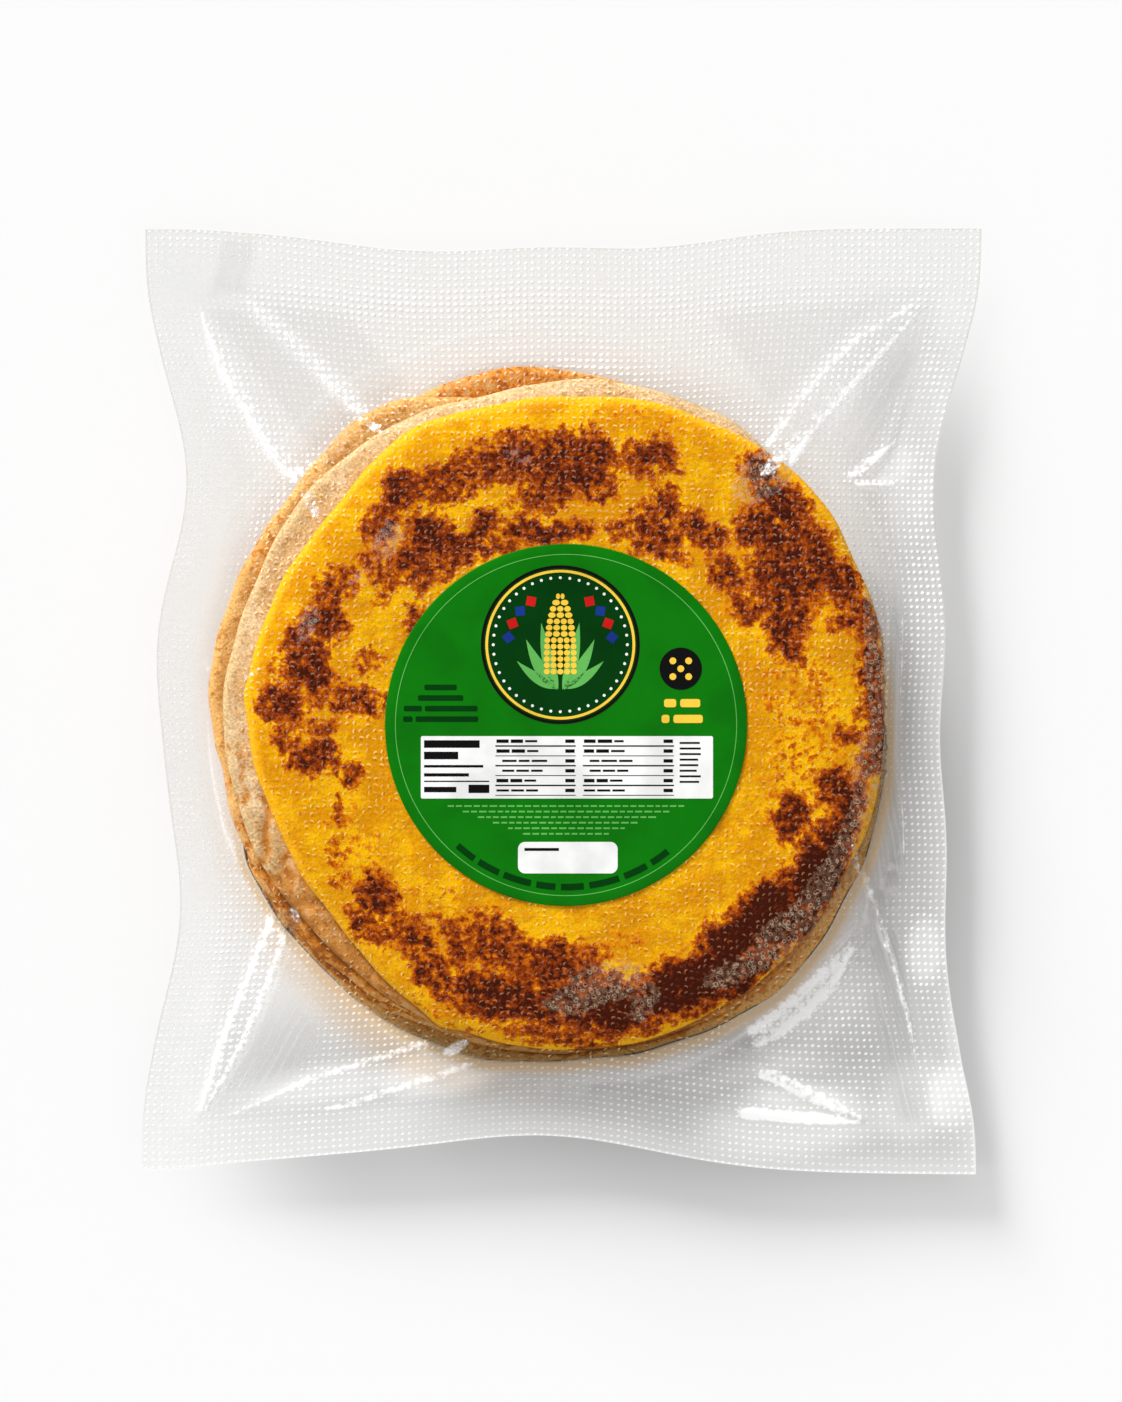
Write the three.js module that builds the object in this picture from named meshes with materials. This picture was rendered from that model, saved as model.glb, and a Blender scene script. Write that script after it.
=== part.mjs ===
// A sealed clear pouch that holds a stack of five flat corn cakes, with a round label on its top.
// Millimetres, +Z up. The pouch lies flat: the origin is under its middle, on the surface it lies on.
import * as THREE from 'three';

// Pouch: a flat bag, sealed all round and drawn tight over the stack.
const pouchWidth = 234; // corner to corner, along X
const pouchLength = 264; // corner to corner, along Y
const sealWidth = 10; // of the flat welded band along each edge
const weldEase = 9; // inside the band, over which the two films part
const bandThickness = 0.5; // the two welded films, as one solid
const bandHeight = 12; // of the welded band above the surface, half way up the stack
const cornerDroop = 3; // how much lower the corners hang

// Dips of each edge, drawn inwards where the stack pulls on the film.
// at: place along the edge, depth: how far in, spread: half width of the dip.
const dips = {
  left: [
    { at: 61, depth: 11.9, spread: 36 },
    { at: -11, depth: 3.5, spread: 28 },
    { at: -59, depth: 10.4, spread: 36 },
  ],
  right: [
    { at: 74, depth: 5.5, spread: 30 },
    { at: 46, depth: 9.7, spread: 40 },
    { at: -10, depth: 9.1, spread: 30 },
    { at: -66, depth: 9.8, spread: 40 },
  ],
  top: [
    { at: -36, depth: 6.4, spread: 40 },
    { at: 24, depth: 4.9, spread: 30 },
  ],
  bottom: [
    { at: -60, depth: 3.3, spread: 40 },
    { at: -6, depth: 8.8, spread: 40 },
  ],
};

// Stack: five cakes, the top one first, each a little off the one below it.
const cakeThickness = 4.7;
const filmThickness = 0.2;
const cakes = [
  { x: 0.5, y: -6.2, radius: 91 },
  { x: -4.5, y: -1.8, radius: 92 },
  { x: -8, y: 0.5, radius: 92 },
  { x: -3, y: 3, radius: 91.5 },
  { x: -4.5, y: -9.5, radius: 92 },
];
const stackTop = cakes.length * cakeThickness + 2 * filmThickness;
const stackCentre = { x: -3, y: -4 };
const topRoll = 2.6; // rounding of the film over the top cake's edge
const skirtFall = 9; // how fast the film falls away outside the stack

// Folds that run from near the corners to the stack.
const folds = [
  { from: [-103.9, 111.2], to: [-72, 56], height: 2.2, width: 7 },
  { from: [-91.3, 112.6], to: [-53, 76], height: 1.6, width: 6 },
  { from: [102, 114], to: [61, 68], height: 2.6, width: 8 },
  { from: [-105.3, -117], to: [-79, -62], height: 2.4, width: 7 },
  { from: [-98.3, -117.6], to: [-28, -97], height: 1.8, width: 6 },
  { from: [103.3, -118.4], to: [83, -65], height: 2.4, width: 7 },
];

// Label: a round sticker on the flat middle of the top.
const label = { x: 0, y: -6.4, radius: 50.5, thickness: 0.2, clearance: 0.06 };

// Fineness of the faceted pouch.
const stepsAlongX = 28;
const stepsAlongY = 30;

const cornersAround = 2 * (stepsAlongX + stepsAlongY);

function smooth(t) {
  const held = Math.min(1, Math.max(0, t));
  return held * held * (3 - 2 * held);
}

function drawnIn(edge, along) {
  return dips[edge].reduce((sum, dip) => sum + dip.depth * Math.exp(-(((along - dip.at) / dip.spread) ** 2)), 0);
}

// The pouch's outline, point by point round the four edges, anticlockwise from the bottom right corner.
function outlinePoints() {
  const halfX = pouchWidth / 2;
  const halfY = pouchLength / 2;
  const points = [];
  for (let step = 0; step < stepsAlongY; step += 1) {
    const y = -halfY + (pouchLength * step) / stepsAlongY;
    points.push([halfX - drawnIn('right', y) * endHold(step, stepsAlongY), y]);
  }
  for (let step = 0; step < stepsAlongX; step += 1) {
    const x = halfX - (pouchWidth * step) / stepsAlongX;
    points.push([x, halfY - drawnIn('top', x) * endHold(step, stepsAlongX)]);
  }
  for (let step = 0; step < stepsAlongY; step += 1) {
    const y = halfY - (pouchLength * step) / stepsAlongY;
    points.push([-halfX + drawnIn('left', y) * endHold(step, stepsAlongY), y]);
  }
  for (let step = 0; step < stepsAlongX; step += 1) {
    const x = -halfX + (pouchWidth * step) / stepsAlongX;
    points.push([x, -halfY + drawnIn('bottom', x) * endHold(step, stepsAlongX)]);
  }
  return points;
}

// 0 at a corner and 1 away from it, so that the four edges meet exactly.
function endHold(step, steps) {
  const fromCorner = Math.min(step, steps - step) / steps;
  return smooth(fromCorner / 0.12);
}

// Distance from the stack's centre, along a direction, to the far side of a circle.
function reach(circle, direction) {
  const dx = circle.x - stackCentre.x;
  const dy = circle.y - stackCentre.y;
  const along = dx * direction.x + dy * direction.y;
  const aside = dx * direction.y - dy * direction.x;
  return along + Math.sqrt(circle.radius ** 2 - aside ** 2);
}

function bandLevel(x, y) {
  const toCorner = smooth(Math.abs((2 * x) / pouchWidth)) * smooth(Math.abs((2 * y) / pouchLength));
  return bandHeight - cornerDroop * toCorner;
}

// Height of the folds at a point outside the stack.
function foldHeight(x, y) {
  return folds.reduce((highest, fold) => {
    const run = new THREE.Vector2(fold.to[0] - fold.from[0], fold.to[1] - fold.from[1]);
    const offset = new THREE.Vector2(x - fold.from[0], y - fold.from[1]);
    const share = offset.dot(run) / run.lengthSq();
    const aside = Math.abs(offset.cross(run)) / run.length();
    const ends = smooth(share / 0.25) * smooth((1.15 - share) / 0.2);
    return Math.max(highest, fold.height * ends * smooth(1 - aside / fold.width));
  }, 0);
}

// Rings of the pouch's surface from the middle of its underside, out to the rim and back over the top.
// Each ring gives a distance from the stack's centre and a height, for one direction.
function rings() {
  const skirtShares = [1, 0.84, 0.68, 0.52, 0.38, 0.25, 0.14, 0.06];
  const under = [0, 0.5, 0.96].map((share) => (ray) => ({ distance: ray.foot * share, height: 0 }));
  const top = [0.93, 0.8, 0.6, 0.3, 0].map((share) => (ray) => ({ distance: ray.top * share, height: stackTop }));
  const skirt = (side) => (share) => (ray) => {
    const distance = ray.hull + (ray.rim - ray.hull) * share;
    const fall = Math.exp(-(distance - ray.hull) / skirtFall);
    const level = bandLevel(ray.x * distance + stackCentre.x, ray.y * distance + stackCentre.y);
    const fold = foldHeight(ray.x * distance + stackCentre.x, ray.y * distance + stackCentre.y);
    const open = side > 0 ? (stackTop - level) * 0.55 : level * 0.75;
    const unwelded = smooth((ray.rim - distance - sealWidth) / weldEase);
    const lift = unwelded * (open * fall + (side > 0 ? fold : 0));
    return { distance, height: level + side * (bandThickness / 2 + lift) };
  };
  const turns = [90, 60, 30, 0].map((angle) => (ray) => {
    const radians = THREE.MathUtils.degToRad(angle);
    return {
      distance: ray.top - topRoll * (1 - Math.sin(radians)),
      height: stackTop - topRoll * (1 - Math.cos(radians)),
    };
  });
  const lean = (ray) => ({ distance: (ray.top + ray.hull) / 2 + 0.6, height: stackTop - 5 });
  return [
    ...under,
    ...[...skirtShares].reverse().map(skirt(-1)),
    ...skirtShares.map(skirt(1)),
    lean,
    ...turns,
    ...top,
  ];
}

function rayTo(point) {
  const away = new THREE.Vector2(point[0] - stackCentre.x, point[1] - stackCentre.y);
  const rim = away.length();
  const direction = away.clone().normalize();
  const hull = Math.max(...cakes.map((cake) => reach(cake, direction))) + 1.2;
  return {
    x: direction.x,
    y: direction.y,
    rim,
    hull,
    top: reach(cakes[0], direction) + filmThickness,
    foot: reach(cakes[cakes.length - 1], direction),
  };
}

function material(color, roughness, opacity = 1) {
  return new THREE.MeshStandardMaterial({ color, roughness, metalness: 0, opacity, transparent: opacity < 1 });
}

// A closed lathe form, turned about Z, whose rings are then drawn out to the pouch's true shape.
function pouchGeometry() {
  const shape = rings();
  const profile = shape.map((_, index) => {
    const angle = (Math.PI * index) / (shape.length - 1);
    return new THREE.Vector2(Math.sin(angle), -Math.cos(angle));
  });
  const outline = outlinePoints();
  const rays = outline.map(rayTo);
  const geometry = new THREE.LatheGeometry(profile, cornersAround).rotateX(Math.PI / 2);
  const position = geometry.getAttribute('position');
  for (let turn = 0; turn <= cornersAround; turn += 1) {
    const ray = rays[turn % cornersAround];
    shape.forEach((ring, index) => {
      const { distance, height } = ring(ray);
      const x = stackCentre.x + ray.x * distance;
      const y = stackCentre.y + ray.y * distance;
      position.setXYZ(turn * shape.length + index, x, y, height);
    });
  }
  geometry.computeVertexNormals();
  return geometry;
}

// Moves the pouch so that the middle of its bounding box is over the origin.
function centring(geometry) {
  geometry.computeBoundingBox();
  const middle = geometry.boundingBox.getCenter(new THREE.Vector3());
  return new THREE.Vector3(-middle.x, -middle.y, 0);
}

function makePouch(geometry) {
  const pouch = new THREE.Mesh(geometry, material('#e9c98a', 0.35, 0.95));
  pouch.name = 'pouch';
  return pouch;
}

function makeLabel() {
  const geometry = new THREE.CylinderGeometry(label.radius, label.radius, label.thickness, 96);
  geometry.rotateX(Math.PI / 2);
  const disc = new THREE.Mesh(geometry, material('#08750a', 0.4));
  disc.name = 'label';
  disc.position.set(label.x, label.y, stackTop + label.clearance + label.thickness / 2);
  return disc;
}

const pouchShape = pouchGeometry();
const pack = new THREE.Group();
pack.add(makePouch(pouchShape), makeLabel());
pack.position.copy(centring(pouchShape));

export default pack;
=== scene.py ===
# A clear embossed pouch, sealed all round and drawn tight over a stack of five corn cakes,
# with a round paper label stuck on its top. Sizes in the dictionaries are in millimetres.
import math
import bpy
import bmesh
from mathutils import Matrix, Vector, noise


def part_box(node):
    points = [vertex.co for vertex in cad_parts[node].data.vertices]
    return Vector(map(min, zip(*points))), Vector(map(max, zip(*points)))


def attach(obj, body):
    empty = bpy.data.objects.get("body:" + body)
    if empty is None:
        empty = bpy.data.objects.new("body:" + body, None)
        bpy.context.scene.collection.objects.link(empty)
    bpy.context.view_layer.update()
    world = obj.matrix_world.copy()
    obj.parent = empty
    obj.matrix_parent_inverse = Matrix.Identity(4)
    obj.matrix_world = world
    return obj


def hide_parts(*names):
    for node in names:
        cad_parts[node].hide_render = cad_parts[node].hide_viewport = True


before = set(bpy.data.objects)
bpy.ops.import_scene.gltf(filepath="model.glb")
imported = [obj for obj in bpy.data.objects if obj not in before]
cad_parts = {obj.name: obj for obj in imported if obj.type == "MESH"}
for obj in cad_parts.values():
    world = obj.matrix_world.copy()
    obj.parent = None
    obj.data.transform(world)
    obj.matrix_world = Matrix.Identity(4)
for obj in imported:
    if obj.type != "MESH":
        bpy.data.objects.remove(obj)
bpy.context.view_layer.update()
print("frame loaded")

mm = 0.001
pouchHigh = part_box("pouch")[1] / mm
labelLow, labelHigh = (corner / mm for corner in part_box("label"))
labelCentre = (labelLow + labelHigh) / 2


# small helpers

def smoothStep(t):
    t = min(1.0, max(0.0, t))
    return t * t * (3.0 - 2.0 * t)


def ramp(value, start, breadth):  # 0 up to the start, and 1 from a breadth further on
    return smoothStep((value - start) / breadth)


def bell(distance, spread):
    return math.exp(-((distance / spread) ** 2))


def bellAfter(distance, start, spread):  # 1 up to the start, and falling off from there
    return bell(max(distance - start, 0.0), spread)


def blendMax(a, b, soft):  # the larger of two heights, with a fillet between them
    near = max(soft - abs(a - b), 0.0) / soft
    return max(a, b) + near * near * soft * 0.25


def ripple(x, y, size, layer=0.0):  # smooth noise from -1 to 1, with lumps of about this size
    return noise.noise(Vector((x / size, y / size, layer)))


def angleApart(a, b):
    return (a - b + 180.0) % 360.0 - 180.0


def finishMesh(bm, name, material):
    mesh = bpy.data.meshes.new(name)
    for face in bm.faces:
        face.smooth = True
    bm.to_mesh(mesh)
    bm.free()
    piece = bpy.data.objects.new(name, mesh)
    bpy.context.scene.collection.objects.link(piece)
    mesh.materials.append(material)
    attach(piece, "root")
    return piece


# shader helpers

def paint(colour):  # red, green and blue as seen, 0 to 255, made ready for a shader
    def linear(value):
        value /= 255.0
        return value / 12.92 if value <= 0.04045 else ((value + 0.055) / 1.055) ** 2.4
    return tuple(linear(value) for value in colour) + (1.0,)


def addNode(tree, kind, inputs=None, **settings):
    made = tree.nodes.new(kind)
    for name, value in settings.items():
        setattr(made, name, value)
    for name, value in (inputs or {}).items():
        socket = made.inputs[name]
        if isinstance(value, bpy.types.NodeSocket):
            tree.links.new(value, socket)
        else:
            socket.default_value = value
    return made


def maths(tree, operation, first, second=0.0, clamp=False):
    made = addNode(tree, "ShaderNodeMath", {0: first, 1: second}, operation=operation, use_clamp=clamp)
    return made.outputs[0]


def plus(tree, first, second, clamp=False):
    return maths(tree, "ADD", first, second, clamp)


def minus(tree, first, second):
    return maths(tree, "SUBTRACT", first, second)


def times(tree, first, second, clamp=False):
    return maths(tree, "MULTIPLY", first, second, clamp)


def swing(tree, value, strength, middle=0.5):  # how far a value lies from its middle, times a strength
    return times(tree, minus(tree, value, middle), strength)


def vectors(tree, operation, first, second=None, scale=None):
    inputs = {0: first}
    if second is not None:
        inputs[1] = second
    if scale is not None:
        inputs["Scale"] = scale
    made = addNode(tree, "ShaderNodeVectorMath", inputs, operation=operation)
    return made.outputs["Value" if operation in ("DOT_PRODUCT", "LENGTH") else "Vector"]


def noiseAt(tree, place, scale, detail, roughness=0.5):
    return addNode(tree, "ShaderNodeTexNoise",
                   {"Vector": place, "Scale": scale, "Detail": detail, "Roughness": roughness})


def markOf(tree, name):  # a value that the mesh carries at each of its points
    return addNode(tree, "ShaderNodeAttribute", attribute_name=name).outputs["Fac"]


def objectPlace(tree):
    return addNode(tree, "ShaderNodeTexCoord").outputs["Object"]


def fade(tree, value, low, high):  # 0 below low, 1 above high
    made = addNode(tree, "ShaderNodeMapRange", {"Value": value, "From Min": low, "From Max": high},
                   interpolation_type="SMOOTHSTEP")
    return made.outputs["Result"]


def mixColour(tree, share, first, second, blend="MIX"):
    # a plain colour has three parts, and one that is ready for a shader has four
    first, second = (paint(value) if isinstance(value, tuple) and len(value) == 3 else value
                     for value in (first, second))
    made = addNode(tree, "ShaderNodeMix", data_type="RGBA", blend_type=blend)
    for socket, value in ((made.inputs[0], share), (made.inputs[6], first), (made.inputs[7], second)):
        if isinstance(value, bpy.types.NodeSocket):
            tree.links.new(value, socket)
        else:
            socket.default_value = value
    return made.outputs[2]


def mottled(tree, colour, mask):  # lightens and darkens a colour by a mask that is 0 in the middle
    bright = plus(tree, 1.0, mask)
    grey = addNode(tree, "ShaderNodeCombineXYZ", {0: bright, 1: bright, 2: bright})
    return mixColour(tree, 1.0, colour, grey.outputs[0], "MULTIPLY")


def newMaterial(name):
    material = bpy.data.materials.new(name)
    material.use_nodes = True
    material.node_tree.nodes.clear()
    return material, material.node_tree


def closeMaterial(tree, shader):
    addNode(tree, "ShaderNodeOutputMaterial", {"Surface": shader})


def newGroup(name, inputs, outputs):
    tree = bpy.data.node_groups.new(name, "ShaderNodeTree")
    for socketName, kind, value in inputs:
        socket = tree.interface.new_socket(socketName, in_out="INPUT", socket_type=kind)
        if value is not None:
            socket.default_value = value
    for socketName, kind in outputs:
        tree.interface.new_socket(socketName, in_out="OUTPUT", socket_type=kind)
    return tree, tree.nodes.new("NodeGroupInput"), tree.nodes.new("NodeGroupOutput")


def placeGroup(tree, group, inputs):
    made = tree.nodes.new("ShaderNodeGroup")
    made.node_tree = group
    for name, value in inputs.items():
        if isinstance(value, bpy.types.NodeSocket):
            tree.links.new(value, made.inputs[name])
        else:
            made.inputs[name].default_value = value
    return made


# grain: a shared fine mottle for paper, ink and cooked batter

def makeGrainGroup():
    tree, source, result = newGroup(
        "grain",
        [("Place", "NodeSocketVector", None), ("Scale", "NodeSocketFloat", 300.0),
         ("Strength", "NodeSocketFloat", 0.2)],
        [("Mask", "NodeSocketFloat"), ("Height", "NodeSocketFloat")])
    fine = addNode(tree, "ShaderNodeTexNoise",
                   {"Vector": source.outputs["Place"], "Scale": source.outputs["Scale"], "Detail": 2.0,
                    "Roughness": 0.6})
    centred = minus(tree, fine.outputs[0], 0.5)
    mask = times(tree, centred, source.outputs["Strength"])
    tree.links.new(mask, result.inputs["Mask"])
    tree.links.new(fine.outputs[0], result.inputs["Height"])
    return tree


grainGroup = makeGrainGroup()


# the stack of cakes

stack = {
    "at": (0.5, 0.2),       # the middle of the cakes, off the label's centre
    "thickness": 4.7,
    "radius": 90.0,
    "steps": 360,           # round the top cake, and round each of the others
    "lowerSteps": 300,
    "floor": 0.15,          # of the lowest cake, on the under sheet
    "lift": 0.34,           # how much the faces rise and fall
    "liftSize": 34.0,
    "droop": (2.7, 15.0),   # how far the cakes bend down at the top one's edge, and over what breadth
    # the top cake first. reach: from the middle to the edge, every 15 degrees
    # waves: (count, depth, turn), dents: (turn, depth, half spread)
    "cakes": [
        {"reach": [88.7, 91.0, 92.6, 95.0, 93.8, 93.2, 91.8, 92.0, 93.3, 89.2, 89.2, 90.0,
                   89.8, 86.8, 85.4, 85.6, 89.4, 91.0, 90.9, 91.0, 90.0, 89.5, 88.3, 88.8],
         "waves": [(19, 0.18, 10), (31, 0.12, 60)], "dents": [(175, 0.8, 3), (247, 1.2, 2.5)]},
        {"reach": [86.0, 87.0, 89.0, 92.0, 96.4, 97.0, 96.6, 95.4, 97.2, 98.0, 97.0, 96.4,
                   97.1, 95.0, 93.6, 91.4, 92.2, 91.6, 91.2, 91.6, 92.2, 90.8, 88.6, 87.0],
         "waves": [(13, 0.25, 40), (29, 0.15, 0)], "dents": [(204, 0.7, 4)]},
        {"reach": [84.0, 85.0, 87.0, 90.0, 93.0, 94.0, 94.5, 95.0, 104.2, 102.3, 101.3, 101.9,
                   100.6, 97.6, 96.6, 95.5, 93.0, 91.0, 90.0, 89.5, 89.0, 88.0, 86.0, 84.0],
         "waves": [(17, 0.3, 60), (37, 0.2, 0)], "dents": [(187, -0.8, 3), (199, 0.9, 4), (213, -0.7, 5)]},
        {"reach": [84.0, 86.0, 88.0, 91.0, 94.0, 96.3, 100.1, 102.2, 101.5, 99.0, 97.0, 97.0,
                   97.0, 96.6, 97.2, 96.0, 95.0, 93.8, 92.8, 92.4, 92.0, 90.6, 88.0, 85.0],
         "waves": [(11, 0.3, 20), (23, 0.2, 90)], "dents": [(193, 1.2, 3), (205, 1.3, 4), (216, 1.1, 4)]},
        {"reach": [89.0, 86.0, 85.0, 87.0, 90.0, 92.0, 94.0, 95.0, 96.0, 97.0, 97.0, 97.5,
                   98.4, 98.8, 98.9, 98.6, 98.6, 97.6, 95.4, 95.0, 96.0, 95.4, 92.6, 91.4],
         "waves": [(14, 0.25, 0), (27, 0.2, 40)],
         "dents": [(187, -1.2, 3), (199, -1.3, 3), (228, -0.8, 4)]},
    ],
    "outlinePoints": 720,
    "wrinkles": (203, 24, 1.1),     # in the lower cakes' rims: turn, half spread, depth
}


def cakeReach(cake, angle):  # from the cake's middle to its edge, at an angle in degrees
    marks = cake["reach"]
    share = angle / 360.0 * len(marks)
    low = int(share)
    t = share - low
    before, first, second, after = (marks[(low + step) % len(marks)] for step in (-1, 0, 1, 2))
    reach = first + 0.5 * t * (second - before + t * (2.0 * before - 5.0 * first + 4.0 * second - after
                                                     + t * (3.0 * (first - second) + after - before)))
    for count, depth, turn in cake["waves"]:
        reach += depth * math.cos(math.radians(count * angle - turn))
    for turn, depth, spread in cake["dents"]:
        reach += depth * bell(angleApart(angle, turn), spread)
    return reach


def prepareStack():
    stack["x"] = labelCentre.x + stack["at"][0]
    stack["y"] = labelCentre.y + stack["at"][1]
    for index, cake in enumerate(stack["cakes"]):
        cake["top"] = pouchHigh.z - 0.3 - index * stack["thickness"]
        cake["edge"] = [cakeReach(cake, 360.0 * point / stack["outlinePoints"])
                        for point in range(stack["outlinePoints"] + 1)]


prepareStack()


def reachAt(cake, dx, dy):
    share = (math.atan2(dy, dx) / (2.0 * math.pi)) % 1.0 * stack["outlinePoints"]
    low = int(share)
    high = min(low + 1, stack["outlinePoints"])
    return cake["edge"][low] + (cake["edge"][high] - cake["edge"][low]) * (share - low)


def outsideEach(x, y):  # how far a point is outside each cake's edge, less than 0 within it
    dx = x - stack["x"]
    dy = y - stack["y"]
    distance = math.hypot(dx, dy)
    return [distance - reachAt(cake, dx, dy) for cake in stack["cakes"]]


def stackDroop(past):  # past: how far a point is outside the top cake's edge
    depth, breadth = stack["droop"]
    share = min(1.0, max(0.0, (past + breadth) / (breadth + 3.0)))
    return depth * share * share


def stackLift(x, y):  # gentle rise and fall that the cakes, film and label share
    size = stack["liftSize"]
    lumps = ripple(x, y, size, 3.1) + 0.45 * ripple(x, y, size * 0.38, 7.7)
    fromLabel = math.hypot(x - labelCentre.x, y - labelCentre.y)
    calm = 0.35 + 0.65 * smoothStep((fromLabel - 38.0) / 20.0)
    return stack["lift"] * calm * lumps


# toasting: patches on the top cake's face, placed round its middle

# (turn in degrees, distance from the middle, half length along the rim, half breadth, strength)
# the faint thin ones at 89 mm, turned 250 and 316 degrees, are painted shade that warms and darkens the
# lower rim
toastPatches = [
    (90, 73, 14, 9, 1.0), (103, 76, 12, 7, 0.9), (116, 76, 9, 6, 0.9), (126, 79, 6, 6, 1.0),
    (132, 75, 6, 5, 0.9), (140, 70, 6, 5, 0.6), (97, 64, 9, 4, 0.8), (82, 68, 6, 6, 0.75),
    (84, 77, 8, 4, 0.9), (126, 63, 6, 7, 1.1), (134, 58, 6, 4, 0.85), (143, 64, 5, 4, 0.6),
    (116, 60, 8, 4, 1.0), (101, 55, 8, 3.5, 1.0), (72, 78, 6, 5, 0.95), (54, 90, 6, 4, 1.0),
    (46, 88, 7, 5, 1.2), (65, 65, 6, 4, 0.85), (66, 59, 8, 4, 0.9), (73, 54, 6, 3, 0.7),
    (55, 66, 6, 4, 0.9), (46, 77, 8, 6, 1.0), (40, 79, 9, 8, 1.0), (37, 84, 10, 8, 1.0),
    (43, 61, 8, 4, 0.9), (34, 73, 10, 9, 1.0), (26, 67, 8, 6, 0.95), (31, 59, 5, 4, 0.8),
    (18, 68, 4, 3, 0.85), (29, 85, 8, 6, 1.0), (21, 80, 4, 4, 0.85), (20, 87, 8, 4, 0.95),
    (11, 87, 8, 4, 0.95), (2, 86, 9, 4, 0.95), (359, 78, 3, 4, 0.8), (354, 86, 9, 4, 0.95),
    (347, 77, 6, 6, 1.0), (337, 68, 5, 4, 1.1), (343, 83, 9, 4, 1.1), (335, 79, 8, 5, 1.25),
    (329, 79, 10, 7, 1.45), (316, 77, 9, 8.5, 1.5), (308, 77, 9, 7, 1.4), (302, 82, 11, 6, 1.4),
    (293, 81, 12, 7, 1.4), (320, 85, 13, 3, 1.15), (304, 86.5, 13, 2.8, 1.15), (316, 89, 20, 3, 0.34),
    (250, 89, 26, 3, 0.22), (284, 64, 7, 3, 0.3), (67, 70, 4, 3, 0.7), (280, 80, 13, 7, 1.3),
    (268, 80, 13, 6, 1.15), (267, 69, 13, 8, 1.0), (252, 64, 11, 6, 0.85), (255, 79, 12, 7, 1.1),
    (243, 68, 8, 6, 0.75), (242, 79, 9, 5, 0.9), (232, 74, 7, 6, 0.8), (222, 70, 6, 6, 1.0),
    (226, 80, 7, 4, 0.8), (214, 76, 3, 4, 0.4), (268, 88, 15, 3.5, 0.75), (288, 87, 12, 3, 0.7),
    (0, 66, 34, 12, 0.24), (330, 62, 16, 8, 0.15), (205, 69, 16, 7, 0.2), (236, 60, 14, 5, 0.2),
    (76, 88, 20, 4, 0.2), (150, 75, 6, 5, 0.75), (157, 73, 7, 6, 1.0), (163, 79, 6, 4, 0.9),
    (168, 75, 8, 7, 1.0), (176, 81, 7, 6, 1.0), (172, 63, 5, 5, 0.8), (180, 69, 4, 5, 0.7),
    (187, 71, 4, 7, 0.95), (192, 63, 3, 4, 0.8), (173, 56, 4, 4, 0.9), (184, 79, 3, 4, 0.8),
    (200, 69, 5, 2.5, 0.55), (209, 74, 3, 4, 0.45), (146, 54, 4, 3, 0.8), (162, 58, 4, 3, 0.5),
    (124, 55, 8, 3, 0.85), (112, 53, 7, 2.5, 0.8), (92, 55, 8, 3, 0.9), (62, 55, 6, 3, 0.8),
    (136, 62, 5, 4, 0.8),
]
# how far their outlines wander: (size of the lumps, depth, layer of noise)
toastWarp = [(14.0, 3.6, 1.5), (4.2, 2.4, 4.5)]
# browner stretches of each lower cake's rim: (turn, half spread, strength); near 300 degrees, away from the
# main light, they are also painted shade
rimToastAndShade = {
    1: [(228, 30, 0.42), (262, 24, 0.4), (312, 34, 0.62), (100, 10, 0.12)],
    2: [(150, 14, 0.25), (97, 16, 0.42), (222, 20, 0.4), (300, 50, 0.44)],
    3: [(99, 18, 0.42), (228, 14, 0.42), (300, 50, 0.34)],
    4: [(232, 14, 0.16), (300, 50, 0.22)],
}
# painted shade: a dark line in the crease where one cake comes out from under the next; at is its turn and
# half spread
seamShade = {"breadth": 0.8, "strength": 0.55, "at": (280, 64), "least": 0.1}


def toastAt(x, y):
    dx = x - stack["x"]
    dy = y - stack["y"]
    for size, depth, layer in toastWarp:
        dx += depth * ripple(x, y, size, layer)
        dy += depth * ripple(x, y, size, layer + 1.0)
    distance = math.hypot(dx, dy)
    turn = math.degrees(math.atan2(dy, dx))
    most = 0.0
    for patchTurn, patchDistance, along, across, strength in toastPatches:
        beside = math.radians(angleApart(turn, patchTurn)) * distance / along
        outward = (distance - patchDistance) / across
        away = beside * beside + outward * outward
        if away < 3.4:
            most = max(most, strength * smoothStep((1.65 - math.sqrt(away)) / 1.15))
    return most


def wrinkleAt(index, x, y):  # depth of the creases in a lower cake's rim
    turn = math.degrees(math.atan2(y - stack["y"], x - stack["x"]))
    at, spread, depth = stack["wrinkles"]
    crease = 1.0 - min(1.0, 3.0 * abs(ripple(x, y, 7.0, index * 4.0 + 2.0)))
    return depth * crease * bell(angleApart(turn, at), spread)


# a lower cake's browning: toasting, with painted shade on the side away from the main light, along the seam
# and in the wrinkles
def rimToastAndShadeAt(index, x, y, each):
    turn = math.degrees(math.atan2(y - stack["y"], x - stack["x"]))
    most = max(strength * bell(angleApart(turn, at), spread) for at, spread, strength in rimToastAndShade[index])
    where = max(seamShade["least"], bell(angleApart(turn, seamShade["at"][0]), seamShade["at"][1]))
    seamShadeLine = seamShade["strength"] * where * bell(min(each[:index]), seamShade["breadth"])
    blotchy = 0.85 + 0.3 * ripple(x, y, 5.0, index * 3.0)
    # the wrinkles' hollows darken the colour too, as painted shade
    return min(0.7, most * blotchy + seamShadeLine + 0.35 * wrinkleAt(index, x, y))


def cakeProfile(radius, thickness, dense):  # half a section, from the middle of the top to the underside
    half = thickness / 2.0
    flat = radius - half
    inner = 1.0 if dense else 3.0
    points = []
    distance = 0.0
    while distance < flat - 0.4:
        points.append((distance, half))
        distance += inner if distance < flat - 17.0 or dense else 0.7
    arcSteps = 12
    for step in range(arcSteps + 1):
        turn = math.pi * step / arcSteps
        points.append((flat + half * math.sin(turn), half * math.cos(turn)))
    for share in (0.985, 0.94, 0.85, 0.7, 0.5, 0.25, 0.0):
        points.append((flat * share, -half))
    return points


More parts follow.
